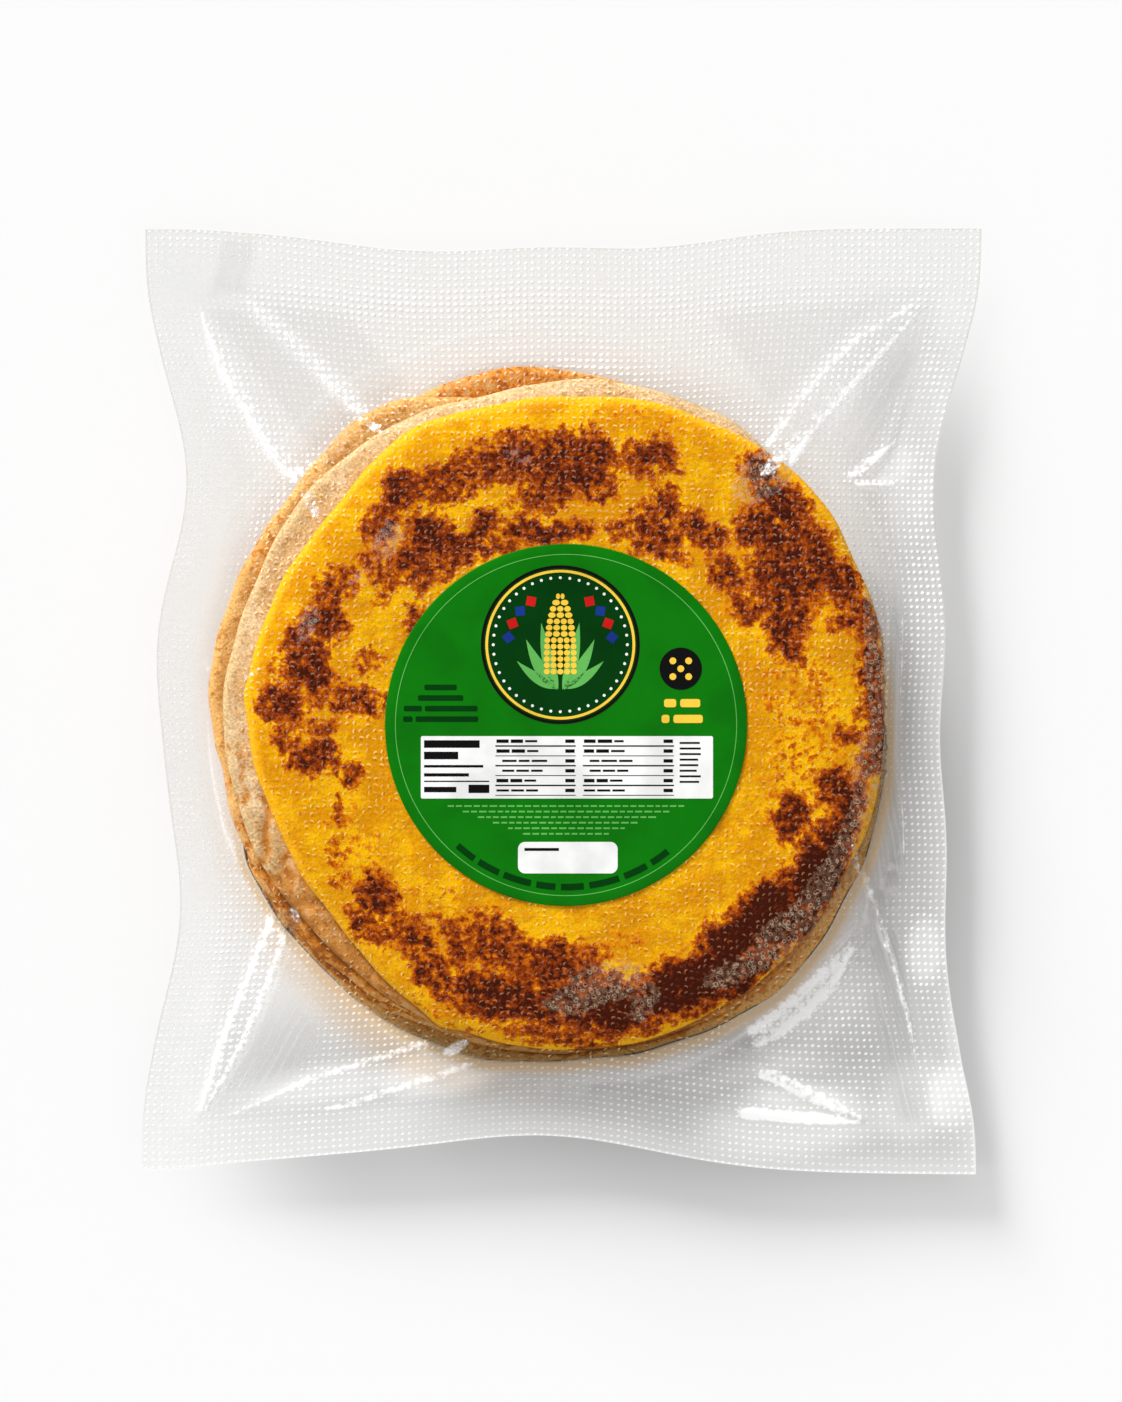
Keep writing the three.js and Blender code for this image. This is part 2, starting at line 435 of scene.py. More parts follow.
def makeCake(index, cake, material):
    dense = index == 0
    radius = stack["radius"]
    bm = bmesh.new()
    verts = [bm.verts.new((distance, 0.0, height)) for distance, height
             in cakeProfile(radius, stack["thickness"], dense)]
    edges = [bm.edges.new(pair) for pair in zip(verts, verts[1:])]
    bmesh.ops.spin(bm, geom=verts + edges, cent=(0, 0, 0), axis=(0, 0, 1), angle=2 * math.pi,
                   steps=stack["steps"] if dense else stack["lowerSteps"], use_merge=True)
    bmesh.ops.remove_doubles(bm, verts=bm.verts, dist=1e-4)
    # faces are turned outwards here, while the cake is still a plain disc
    bmesh.ops.recalc_face_normals(bm, faces=bm.faces)
    toastAndShade = bm.verts.layers.float.new("toastAndShade")
    rim = bm.verts.layers.float.new("rim")
    half = stack["thickness"] / 2.0
    middle = cake["top"] - half
    for vert in bm.verts:
        distance = math.hypot(vert.co.x, vert.co.y)
        reach = reachAt(cake, vert.co.x, vert.co.y)
        stretch = 1.0 + (reach / radius - 1.0) * smoothStep(distance / radius * 2.0 - 0.9)
        x = stack["x"] + vert.co.x * stretch
        y = stack["y"] + vert.co.y * stretch
        sag = 0.5 * smoothStep((distance - radius + 9.0) / 9.0) if index else 0.0
        sag += 0.3 * smoothStep((distance - radius + 5.0) / 5.0)
        each = outsideEach(x, y)
        sag += stackDroop(each[0])
        lumps = 0.20 * ripple(x, y, 6.0, index * 9.0) + 0.12 * ripple(x, y, 2.6, index * 5.0)
        if index:
            lumps = 1.5 * lumps - wrinkleAt(index, x, y)
        upper = 1.0 if vert.co.z > 0 else 0.0
        height = middle + vert.co.z + stackLift(x, y) + lumps * upper - sag
        vert[rim] = smoothStep((distance - (radius - 3.2)) / 2.6)
        # the top cake's mark is its toasting; the lower cakes' mark also carries painted shade
        vert[toastAndShade] = toastAt(x, y) * upper if dense else rimToastAndShadeAt(index, x, y, each)
        vert.co = Vector((x, y, max(height, stack["floor"]))) * mm
    piece = finishMesh(bm, f"cake_{index + 1}", material)
    return piece


# light and deep mottle the batter, and warm to dark are the steps of its toasting and of the painted shade
# on the lower cakes' rims
cakeLooks = {
    "top": {
        "light": (231, 171, 5), "deep": (209, 138, 3), "rim": (236, 170, 20),
        "warm": (198, 108, 3), "rust": (172, 80, 4), "brown": (126, 47, 6), "dark": (64, 18, 4),
        "spots": 0.0, "mottle": 0.2, "crumbs": 2.5, "specks": 0.42, "relief": 0.7, "grain": 1.0,
    },
    "pale": {
        "light": (218, 188, 146), "deep": (196, 158, 108), "rim": (210, 178, 130),
        "warm": (202, 136, 62), "rust": (176, 116, 52), "brown": (128, 74, 34), "dark": (84, 44, 18),
        "spots": 0.5, "mottle": 0.8, "crumbs": 0.6, "specks": 0.2, "relief": 0.8, "grain": 2.0,
    },
    "tan": {
        "light": (216, 170, 106), "deep": (192, 138, 74), "rim": (222, 168, 98),
        "warm": (206, 126, 38), "rust": (160, 88, 26), "brown": (104, 54, 20), "dark": (66, 32, 12),
        "spots": 0.7, "mottle": 0.85, "crumbs": 1.0, "specks": 0.25, "relief": 0.9, "grain": 1.8,
    },
}
crust = {  # what all the cakes' skins share: lumps to the metre, the small brown spots, and the sheen
    "clouds": 85.0,
    "crumbs": 430.0,
    "specks": 640.0,
    "grain": 1300.0,
    "spot": (150, 92, 40),
    "bump": 0.6,
    "roughness": 0.44,
    "toastRoughness": 0.16,
    "sheen": 0.05,
    # where each step of the toasting starts and is full
    "steps": [("warm", 0.12, 0.40), ("rust", 0.36, 0.60), ("brown", 0.56, 0.86), ("dark", 0.86, 1.22)],
}


def makeCakeMaterial(name, look):
    material, tree = newMaterial("cake_" + name)
    place = objectPlace(tree)
    toastAndShade = markOf(tree, "toastAndShade")
    clouds = noiseAt(tree, place, crust["clouds"], 2.0).outputs[0]
    crumbs = noiseAt(tree, place, crust["crumbs"], 3.0, 0.7).outputs[0]
    specks = addNode(tree, "ShaderNodeTexVoronoi", {"Vector": place, "Scale": crust["specks"]})
    specks = addNode(tree, "ShaderNodeSeparateColor", {"Color": specks.outputs["Color"]}).outputs[0]
    grain = placeGroup(tree, grainGroup, {"Place": place, "Scale": crust["grain"], "Strength": 0.7})
    grain = grain.outputs["Mask"]
    blotches = plus(tree, clouds, swing(tree, crumbs, 0.5))
    shade = mixColour(tree, fade(tree, blotches, 0.36, 0.60), look["light"], look["deep"])
    shade = mixColour(tree, markOf(tree, "rim"), shade, look["rim"])
    level = plus(tree, times(tree, toastAndShade, 1.08), swing(tree, crumbs, look["crumbs"], 0.52))
    level = plus(tree, level, swing(tree, specks, look["specks"]))
    level = times(tree, plus(tree, level, grain), fade(tree, toastAndShade, 0.02, 0.3))
    for step, start, full in crust["steps"]:
        shade = mixColour(tree, fade(tree, level, start, full), shade, look[step])
    dots = fade(tree, plus(tree, crumbs, times(tree, specks, 0.22)), 0.64, 0.8)
    shade = mixColour(tree, times(tree, dots, look["spots"]), shade, crust["spot"])
    shade = mottled(tree, shade, swing(tree, crumbs, look["mottle"]))
    shade = mottled(tree, shade, times(tree, grain, look["grain"]))
    bump = addNode(tree, "ShaderNodeBump",
                   {"Strength": crust["bump"], "Distance": look["relief"] * mm, "Height": crumbs})
    rough = plus(tree, crust["roughness"], times(tree, toastAndShade, crust["toastRoughness"]))
    skin = addNode(tree, "ShaderNodeBsdfPrincipled",
                   {"Base Color": shade, "Roughness": rough, "Normal": bump.outputs[0],
                    "Specular IOR Level": crust["sheen"]})
    closeMaterial(tree, skin.outputs[0])
    return material


cakeKinds = ["top", "pale", "tan", "tan", "tan"]
cakeMaterials = {kind: makeCakeMaterial(kind, look) for kind, look in cakeLooks.items()}
for index, (cake, kind) in enumerate(zip(stack["cakes"], cakeKinds)):
    makeCake(index, cake, cakeMaterials[kind])
print("cakes made")


# the film: two sheets, welded along a band at the rim

film = {
    "cell": 0.8,            # of the top sheet's mesh
    "underCell": 1.7,
    "seal": 11.0,           # of the welded band
    "sealEase": 7.0,
    "flange": 12.0,         # height of the welded band, half way up the stack
    "cornerDroop": 3.0,
    "sheetGap": 0.10,       # between the two sheets where they cling
    "overCake": 0.28,
    "slope": 1.15,          # of the film as it falls away from the stack
    "off": 0.4,             # how far it stands off the cakes' edges
    "foot": 0.06,           # height of the under sheet below the stack
    "pitch": 1.95,          # of the embossed dots
    "wander": 0.10,         # how far the dots stray from their lattice
    # dips of each edge, drawn inwards: (place along the edge, how far in, half width)
    "dips": {
        "left": [(61, 11.9, 36), (-11, 3.5, 28), (-59, 10.4, 36)],
        "right": [(74, 5.5, 30), (46, 9.7, 40), (-10, 8.4, 30), (-66, 8.8, 40)],
        "top": [(-36, 6.4, 40), (24, 4.9, 30)],
        "bottom": [(-60, 3.3, 40), (-6, 8.8, 40), (22, 1.6, 40)],
    },
    "cornerHold": 0.12,
    # how far each corner lies off a true rectangle: left to right, bottom row first
    "corners": [(-2.4, 0.7), (-1.6, -1.0), (-1.4, 1.1), (0.0, 1.3)],
}

# ridges in the film: start, end, half width, height at each end, half width of a flat top, sideways bow,
# how white and unbroken the painted highlight on the crest is on its left and right, and the share of that
# within its flat top
folds = [
    ((-104, 114), (-73, 61), 3.6, (0.7, 1.3), 1.2, 3.0, (0.8, 0.66), 0.6),
    ((-92, 115), (-53, 77), 3.6, (0.7, 1.2), 0.8, -1.0, (0.74, 0.66), 0.66),
    ((103, 114), (59.5, 69), 3.2, (0.6, 1.3), 4.0, 3.0, (0.72, 0.92), 0.66),
    ((104, 112), (85, 64), 3.0, (0.8, 0.8), 0.0, -3.0, (0.1, 0.1), 1.0),
    ((-104, -118.5), (-79, -58), 3.2, (0.6, 1.1), 2.6, 0.4, (0.76, 0.9), 0.62),
    ((-97, -118), (-30, -97.5), 2.8, (0.3, 0.3), 5.0, 0.8, (0.68, 0.7), 0.2),
    ((103, -121), (79, -36), 2.4, (0.7, 1.2), 0.0, 2.4, (0.66, 0.7), 1.0),
    ((85, -118), (55, -104), 3.0, (0.6, 0.8), 0.8, 0.0, (0.72, 0.72), 0.6),
    ((84, -118.5), (50, -115.5), 3.0, (0.4, 0.5), 0.6, 0.0, (0.95, 0.95), 1.0),
    ((82, -66), (53, -94), 4.6, (0.8, 0.7), 2.2, -2.6, (0.76, 0.84), 0.8),
    ((93.5, 74), (80, 63), 2.6, (0.8, 1.2), 0.0, 0.0, (0.9, 0.9), 1.0),
    ((104, 61), (80, 62), 2.0, (0.5, 1.0), 0.0, 0.0, (0.75, 0.75), 1.0),
    ((-113, 3), (-98, 12), 1.6, (0.4, 0.9), 0.0, 0.0, (0.5, 0.5), 1.0),
    ((96, -60), (94.5, 24), 1.1, (0.5, 0.5), 0.0, -0.8, (0.8, 0.8), 1.0),
    ((106, 119), (96, 116), 2.2, (0.3, 0.3), 0.0, 0.0, (0.7, 0.7), 1.0),
]


def drawnIn(edge, along):
    return sum(depth * bell(along - place, half) for place, depth, half in film["dips"][edge])


def cornerHold(share):  # share along an edge, -1 to 1: 0 at its corners, where the edges meet exactly
    return smoothStep((1.0 - abs(share)) / (2.0 * film["cornerHold"]))


def filmPlace(u, v):  # from a place on the flat sheet, -1 to 1 each way, to where it lies once drawn in
    halfX = pouchHigh.x
    halfY = pouchHigh.y
    sideX = "right" if u > 0 else "left"
    sideY = "top" if v > 0 else "bottom"
    pullX = drawnIn(sideX, halfY * v) * cornerHold(v) * abs(u) ** 1.6
    pullY = drawnIn(sideY, halfX * u) * cornerHold(u) * abs(v) ** 1.6
    x = halfX * u - math.copysign(pullX, u)
    y = halfY * v - math.copysign(pullY, v)
    for corner, (shiftX, shiftY) in enumerate(film["corners"]):
        share = (1.0 + (u if corner % 2 else -u)) * (1.0 + (v if corner > 1 else -v)) / 4.0
        x += shiftX * share
        y += shiftY * share
    return x, y


def flangeLevel(u, v):  # height of the two clinging sheets
    toCorner = smoothStep(abs(u)) * smoothStep(abs(v))
    waves = 0.7 * ripple(u * 5.0, v * 5.0, 2.0, 8.3) * max(abs(u), abs(v)) ** 2
    return film["flange"] - film["cornerDroop"] * toCorner + waves * (1.0 - toCorner)


def unwelded(u, v):  # 0 on the welded band, 1 inside it
    inX = (1.0 - abs(u)) * pouchHigh.x - film["seal"]
    inY = (1.0 - abs(v)) * pouchHigh.y - film["seal"]
    return smoothStep(inX / film["sealEase"]) * smoothStep(inY / film["sealEase"])


# the crest mark is the strength of the painted highlight along each fold's crest
def foldAt(x, y):  # height of the folds at a point, and how near it is to a crest
    height = 0.0
    crestGlare = 0.0
    for (startX, startY), (endX, endY), width, (low, high), flat, bow, shine, core in folds:
        runX = endX - startX
        runY = endY - startY
        length = math.hypot(runX, runY)
        share = ((x - startX) * runX + (y - startY) * runY) / (length * length)
        if share < -0.05 or share > 1.15:
            continue
        aside = ((x - startX) * runY - (y - startY) * runX) / length - bow * 4.0 * share * (1.0 - share)
        side = shine[0 if aside > 0 else 1]
        widen = 0.25 + 0.75 * smoothStep(share / 0.45)      # a fold starts narrow
        past = abs(aside) - flat * widen
        away = max(past, 0.0) / (width * widen)
        if away > 1.0:
            continue
        ends = ramp(share, -0.02, 0.10) * smoothStep((1.14 - share) / 0.16)
        rise = low + (high - low) * min(1.0, max(0.0, share))
        tent = math.sqrt((1.0 - away) ** 2 + 0.01) - 0.1
        height = max(height, rise * ends * tent)
        edge = bell(past, 0.6 * width * widen)
        crestGlare = max(crestGlare, ends * side * max(edge, core if past < 0 else 0.0))
    return height, crestGlare


# patches where the embossed dots and their painted glints stand out more or less: (x, y, half length, half
# breadth, turn, change)
dotZones = [
    (0, 112, 100, 5, 0, 0.3), (102, 0, 100, 7, 90, 0.35), (10, -108, 90, 9, 2, 0.1),
    (88, -88, 22, 12, -50, 0.3), (-25, -112, 34, 12, 2, -0.35), (-108, 0, 120, 11, 90, -0.45),
    (-97, 18, 60, 8, 88, -0.4), (-104, 118, 22, 10, 0, -0.4), (97, 92, 24, 5, -72, -0.6),
    (-78, -95, 22, 8, 65, -0.5), (92, -75, 30, 3, -65, -0.7), (60, -82, 22, 8, 35, 0.4),
    (-30, 104, 60, 10, -6, 0.2), (99, 96, 22, 7, -70, 0.3), (101, -70, 10, 6, 90, 1.3),
    (108, -111, 10, 6, 90, 1.4), (70, -90, 16, 8, 46, 0.5),
]
# smooth flat facets between the folds, with painted shade: corners anticlockwise, how dark, how far they
# lose their dots, and the turn of their fine streaks
facets = [
    ([(-101.6, 110.9), (-70.4, 68.9), (-57.5, 79.0), (-90.9, 110.9)], 0.24, 0.3, -50),
    ([(-96.8, 131.0), (-100.6, 114.6), (-89.8, 114.6), (-86.5, 131.0)], 0.28, 0.4, 80),
    ([(-86.5, 113.0), (-53.2, 81.8), (-44.5, 90.4), (-61.9, 109.8)], 0.22, 0.25, -40),
    ([(103.0, 111.0), (74.0, 76.0), (82.0, 62.4), (99.5, 97.0)], 0.1, 0.6, 56),
    ([(97.8, 114.5), (40.0, 110.0), (58.0, 82.0), (64.0, 88.0)], 0.2, 0.25, 20),
    ([(-101.0, -117.0), (-68.0, -98.0), (-79.0, -69.2)], 0.1, 0.7, 60),
    ([(83.7, -68.0), (101.5, -117.0), (98.5, -96.0), (93.5, -62.0)], 0.3, 0.8, -72),
    ([(84.0, -82.0), (93.0, -119.0), (101.0, -119.0), (89.0, -80.0)], 0.2, 0.7, -76),
    ([(80.3, -56.0), (41.0, -95.0), (50.0, -97.0), (82.7, -64.0)], 0.1, 0.9, 40),
    ([(93.2, -10.0), (80.5, -46.0), (86.0, -68.0), (96.0, -45.0)], 0.2, 0.85, -78),
    ([(91.6, 42.0), (89.3, -20.0), (95.0, -16.0), (95.0, 30.0)], 0.2, 0.85, 88),
    ([(99.0, 108.0), (62.0, 80.0), (58.0, 71.0), (66.0, 75.0)], 0.0, 0.8, 58),
]
# painted highlights, bright hazy patches: (x, y, half length, half breadth, turn, strength)
paintedGlowZones = [
    (70, -88, 18, 8, 46, 0.15), (101, -70, 9, 5, 90, 0.3), (108, -111, 9, 6, 90, 0.24),
    (68, -112, 17, 5, -10, 0.12), (113, -90, 26, 6, 86, 0.14), (92, 66, 7, 5, 40, 0.2),
    (101, 40, 26, 5, 90, 0.1), (91.5, 5, 28, 2.5, 90, 0.3), (-52, -84, 14, 7, -40, 0.1),
    (-94, 85, 26, 5, -62, 0.15), (-70, -108, 22, 6, 12, 0.2), (30, -103, 40, 6, 4, 0.15),
    (-104, -100, 22, 7, 82, 0.2), (108, 108, 8, 4, 80, 0.15), (-70, -116, 34, 12, 2, 0.18),
    (-46, -106, 8, 6, 0, 0.15), (52, -106, 36, 7, 0, 0.14), (64, -118, 26, 10, 6, 0.3),
    (98, -112, 12, 10, 60, 0.22), (99, 72, 26, 9, 80, 0.24), (72, -94, 24, 9, 40, 0.1),
    (-34, -104, 15, 7, 8, 0.34),
]
# ragged white glints where a fold runs on over the cakes: (x, y, half length, half breadth, turn, strength)
glintZones = [
    (-71.5, 55.5, 6, 2.0, -62, 0.6), (-55, 78, 7, 1.6, -28, 0.6), (57.5, 66, 5, 2.2, 50, 0.75),
    (-31, -97, 5, 2.0, 32, 0.75), (-76, -60, 4, 1.6, -60, 0.6), (-88, 8, 4, 1.2, 30, 0.5),
    (-46, -74, 5, 1.2, 30, 0.35), (81, -44, 6, 1.2, -75, 0.6),
]
# cloudy, crinkled patches over the cakes: (x, y, half length, half breadth, turn, strength)
webZones = [
    (11, -78, 12, 6, 10, 0.9), (1, -84, 8, 4, 0, 0.7), (22, -84, 7, 4, 60, 0.6),
    (56, 64, 11, 6, 40, 1.0), (86.5, 14, 26, 3.2, 92, 1.0), (85, -18, 12, 5, 80, 1.0),
    (80, -38, 16, 4.5, 66, 0.9), (72, -53, 13, 5.5, 53, 0.9), (60, -66, 12, 6, 43, 0.9),
    (45, -76, 9, 4, 26, 0.6), (-79, -62, 6, 4, 60, 0.6), (-50, 45, 7, 4, 60, 0.6),
    (-13, 69, 6, 2.5, -20, 0.4), (-72, 22, 6, 3, 70, 0.6), (-66, 72, 8, 4, 45, 0.5),
    (-58, 34, 5, 3, 50, 0.4),
]


def zoneSum(zones, x, y):
    total = 0.0
    for atX, atY, length, breadth, turn, strength in zones:
        dx = x - atX
        dy = y - atY
        if dx * dx + dy * dy > 2.0 * length * length:
            continue
        cosine = math.cos(math.radians(turn))
        sine = math.sin(math.radians(turn))
        away = math.hypot((dx * cosine + dy * sine) / length, (dy * cosine - dx * sine) / breadth)
        total += strength * smoothStep((1.35 - away) / 0.8)
    return total


# a facet's darkness is painted shade
def facetAt(x, y):  # how dark a facet is, how far it takes the dots away, and the place across its streaks
    shade = 0.0
    plain = 0.0
    across = 0.0
    for corners, dark, bare, streakTurn in facets:
        inside = 9.0
        for (fromX, fromY), (toX, toY) in zip(corners, corners[1:] + corners[:1]):
            runX = toX - fromX
            runY = toY - fromY
            inside = min(inside, (runX * (y - fromY) - runY * (x - fromX)) / math.hypot(runX, runY))
            if inside < -1.0:
                break
        share = ramp(inside, -1.0, 3.4)
        shade = max(shade, dark * share)
        if bare * share > plain:
            plain = bare * share
            turn = math.radians(streakTurn)
            across = y * math.cos(turn) - x * math.sin(turn) + 0.5 * ripple(x, y, 9.0, 3.3)
    return shade, plain, across


def fromLight(x, y):  # how far a point lies across the pouch, away from the main light
    return 0.52 * x - 0.855 * y


# how milky the film is, 0 to 1, and where; much of it is painted light, away from the main light, by the
# stack, along the cakes' edge and the film's rim
milky = {
    "everywhere": 0.05,
    # painted light: shaded and byStack brighten the film where the stack shades it, away from the main
    # light
    "shaded": 0.30,         # away from the main light
    "sealed": 0.10,
    # painted highlight: a white line along the film's outer edge, on the side away from the main light
    "rim": 0.5,
    "byStack": 0.16,
    # painted: lowerLeft is a warm reflection of the cakes, and edge is light laid over the dark crease
    # along their outline
    "lowerLeft": 0.34,      # a warm veil some way off the stack
    "edge": 0.86,           # a narrow line along the cakes' outline
    "most": 0.9,
}
lowerLeftTurn = (226.0, 29.0)       # the veil's middle and half spread, in degrees


def filmMarks(x, y, u, v, outside, each, crestGlare):  # what the film's material reads at a point
    sealed = 1.0 - unwelded(u, v)
    loose = ramp(outside, -1.0, 2.5)
    shaded = ramp(fromLight(x, y), 10.0, 70.0)
    upper = smoothStep((10.0 - fromLight(x, y)) / 60.0) * loose
    rim = smoothStep(1.0 - (1.0 - max(abs(u), abs(v))) / 0.007)
    turn = math.degrees(math.atan2(y - stack["y"], x - stack["x"]))
    lowerLeft = bell(angleApart(turn, lowerLeftTurn[0]), lowerLeftTurn[1])
    dim = max(shaded, lowerLeft)
    shade, plain, across = facetAt(x, y) if outside > -2.0 else (0.0, 0.0, 0.0)

    dots = 0.72 + 0.25 * ripple(x, y, 19.0, 4.0) + 0.2 * ripple(x, y, 7.0, 6.0) + zoneSum(dotZones, x, y)
    # fewer painted glints on the side away from the main light
    dots = min(1.5, max(0.12, dots)) * (1.0 - 0.1 * sealed) * (1.0 - plain) * (1.0 - 0.34 * shaded * loose)

    # painted light: the haze rises away from the main light, by the stack, on the glow zones and along the
    # cakes' edge
    haze = milky["everywhere"] + milky["shaded"] * shaded + milky["sealed"] * sealed
    haze += milky["byStack"] * bell(outside - 2.0, 4.0) * shaded + zoneSum(paintedGlowZones, x, y)
    haze += milky["lowerLeft"] * bellAfter(outside, 4.0, 5.0) * lowerLeft
    haze *= ramp(outside, -0.2, 1.4) * (1.0 - 0.5 * shade)
    edge = ramp(outside, -1.3, 1.0) * bellAfter(outside, 0.5, 1.3) * smoothStep(1.6 * dim)
    haze += milky["edge"] * edge + milky["rim"] * rim * shaded
    # warm: the colour of the painted reflection of the cakes, and of the painted light along their edge
    warm = smoothStep(2.0 * dim) * bellAfter(outside, 0.5, 2.6)
    warm = max(warm, bellAfter(outside, 5.0, 6.0) * lowerLeft)

    right = ramp(x, 78.0, 20.0) * smoothStep((118.0 - y) / 40.0)
    below = smoothStep((-y - 86.0) / 18.0) * ramp(x, -118.0, 52.0) * (1.0 - 0.2 * ramp(x, 20.0, 50.0))
    toasted = toastAt(x, y) if each[0] < 1.0 and math.hypot(x, y) > 44.0 else 0.0
    return {
        "dots": dots,
        "haze": min(milky["most"], haze),
        "crestGlare": max(crestGlare, zoneSum(glintZones, x, y)),
        # shade: painted shade on the facets, and a slightly darker tint over the upper left
        "shade": min(1.0, shade + 0.14 * upper),
        "plain": plain * loose,
        "streak": across,
        "web": min(1.0, zoneSum(webZones, x, y)) * (1.0 - loose),
        "warm": warm,
        "toasted": min(1.0, toasted),
        "topmost": smoothStep(0.5 - each[0] / 1.6),
        "cling": 1.0 - loose,
        # rim: painted shade along the film's cut edge on the side toward the main light; on the far side
        # milky rim paints a white highlight
        "rim": rim * (1.0 - shaded),
        "block": max(0.86 * right, below) * (1.0 - 0.3 * sealed) * loose,
    }


def fallFrom(past):  # how far a slope has dropped at a distance past its edge, with a rounded start
    return film["slope"] * (math.sqrt(past * past + 1.0) + past) / 2.0


def filmTop(x, y, u, v, outside, each):  # height of the top sheet, and how near it is to a fold's crest
    level = flangeLevel(u, v)
    loose = unwelded(u, v)
    height = 0.0
    for cake, past in zip(stack["cakes"], each):
        height = blendMax(height, cake["top"] + film["overCake"] - fallFrom(past + film["off"]), 2.4)
    if outside < -25.0:
        return height + stackLift(x, y), 0.0
    lift = stackLift(x, y) * smoothStep(1.0 - (outside + 4.0) / 8.0)
    height = blendMax(height + lift - stackDroop(each[0]), level + film["sheetGap"], 4.0)
    fold, crestGlare = foldAt(x, y)
    crinkles = abs(ripple(x, y, 5.5, 2.2)) * 0.35 + 0.15 * abs(ripple(x, y, 2.4, 6.4))
    crinkles *= ramp(outside, -1.0, 3.0) * bellAfter(outside, 5.0, 9.0)
    crinkles *= 0.3 + 0.7 * smoothStep(fromLight(x, y) / 60.0)
    slack = 0.16 * ripple(x, y, 13.0, 5.0) + 0.35 * ripple(x, y, 31.0, 9.0)
    extra = loose * (fold * ramp(outside, -6.0, 6.0) + crinkles + slack * ramp(outside, 2.0, 12.0) + 0.2)
    crestGlare *= smoothStep(3.0 * loose) * ramp(outside, -2.0, 3.0)
    sealed = level + film["sheetGap"] / 2.0
    return sealed + (height - sealed) * loose + extra, crestGlare


def filmUnder(x, y, u, v, outside, each):
    level = flangeLevel(u, v)
    rise = film["foot"] + fallFrom(outside + film["off"])
    height = -blendMax(-rise, -(level - film["sheetGap"]), 4.0)
    sealed = level - film["sheetGap"] / 2.0
    return max(film["foot"], sealed + (height - sealed) * unwelded(u, v)), 0.0


filmMarkNames = ("dots", "haze", "crestGlare", "shade", "plain", "streak", "web", "warm", "toasted", "topmost",
                 "cling", "rim", "block")


def makeSheet(name, cell, heightAt, material, faceDown=False):
    bm = bmesh.new()
    across = round(2.0 * pouchHigh.x / cell)
    along = round(2.0 * pouchHigh.y / cell)
    bmesh.ops.create_grid(bm, x_segments=across, y_segments=along, size=1.0)
    layers = {mark: bm.verts.layers.float.new(mark) for mark in filmMarkNames}
    flatMap = bm.loops.layers.uv.new("flat")
    flatPlace = []
    for vert in bm.verts:
        u, v = vert.co.x, vert.co.y
        x, y = filmPlace(u, v)
        each = outsideEach(x, y)
        outside = min(each)
        height, crestGlare = heightAt(x, y, u, v, outside, each)
        for mark, value in filmMarks(x, y, u, v, outside, each, crestGlare).items():
            vert[layers[mark]] = value
        shiftU = film["wander"] * ripple(x, y, 7.0, 12.0)
        shiftV = film["wander"] * ripple(x, y, 7.0, 15.0)
        flatPlace.append(((u * pouchHigh.x + shiftU) * mm, (v * pouchHigh.y + shiftV) * mm))
        vert.co = Vector((x, y, height)) * mm
    bm.verts.index_update()
    for face in bm.faces:
        for loop in face.loops:
            loop[flatMap].uv = flatPlace[loop.vert.index]
    if faceDown:
        bmesh.ops.reverse_faces(bm, faces=bm.faces)
    piece = finishMesh(bm, name, material)
    return piece


filmLook = {
    "clear": (253, 253, 252),
    # painted shade on the film's facets
    "facet": (214, 213, 211),          # what a fully dark facet turns the clear film into
    # painted shade on the far side of each embossed dot, away from the main light, plain and over the cakes
    "relief": (232, 229, 225),         # the far side of each embossed dot
    "dotShadeOver": (238, 212, 184),     # the same over the cakes
    "lampClear": (252, 252, 252),      # what lets the lamps' light through
    "lampBlock": (158, 158, 158),
    "haze": (233, 233, 232),
    # painted glints: the white of the embossed strokes and of the folds' crests, and its colours over the
    # cakes
    "paintedGlint": (254, 254, 254),
    "glintOnRims": (255, 232, 190),      # over the lower cakes' rims
    "glintOnTop": (255, 236, 134),     # over the top cake
    "glintOnToast": (222, 168, 118),    # over the toasted patches
    # painted reflection of the cakes, and painted light along their edge
    "paintedWarmGlow": (206, 178, 142),
    "webFill": (126, 104, 84),
    "webLine": (178, 156, 130),
    # how solid the painted glints are away from the cakes, over them and over toast, and a patch's grit and
    # curls
    "dotShare": (0.66, 0.56, 0.34),
    "webShare": (0.4, 0.34),
    "crestShare": 0.64,
    "streakShare": 0.16,
    "crestGloss": 0.4,
    "gloss": (1.0, 0.25),      # away from the cakes, and on the dots over them
    "sheen": (0.16, 0.5, 0.1),      # roughness of the clear film and of the haze, and the haze's own gloss
    "tears": 420.0,            # lumps to the metre, where crests and cloudy patches break up
    "grit": 620.0,
    "curls": 640.0,
    "curlDrift": 1.6,
    # the embossed strokes, which carry the painted glints: turn in degrees, half length and half breadth as
    # shares of the pitch
    "dotTurn": 28.0,
    "dotLength": 0.36,
    "dotBreadth": 0.24,
    "dotHeight": 0.2,
    # each pair: away from the cakes, and over them
    "stray": (0.13, 0.42),     # how far a stroke strays within its cell
    "twist": (0.2, 1.8),       # and how far it turns
    "lengthBy": (1.0, 0.97),   # what its length and its breadth are divided by
    "breadthBy": (1.0, 0.96),
}


def mixValue(tree, share, first, second):
    made = addNode(tree, "ShaderNodeMix", {0: share, 2: first, 3: second})
    return made.outputs[0]


def lengthOf(tree, across, along):
    both = addNode(tree, "ShaderNodeCombineXYZ", {0: across, 1: along})
    return vectors(tree, "LENGTH", both.outputs[0])
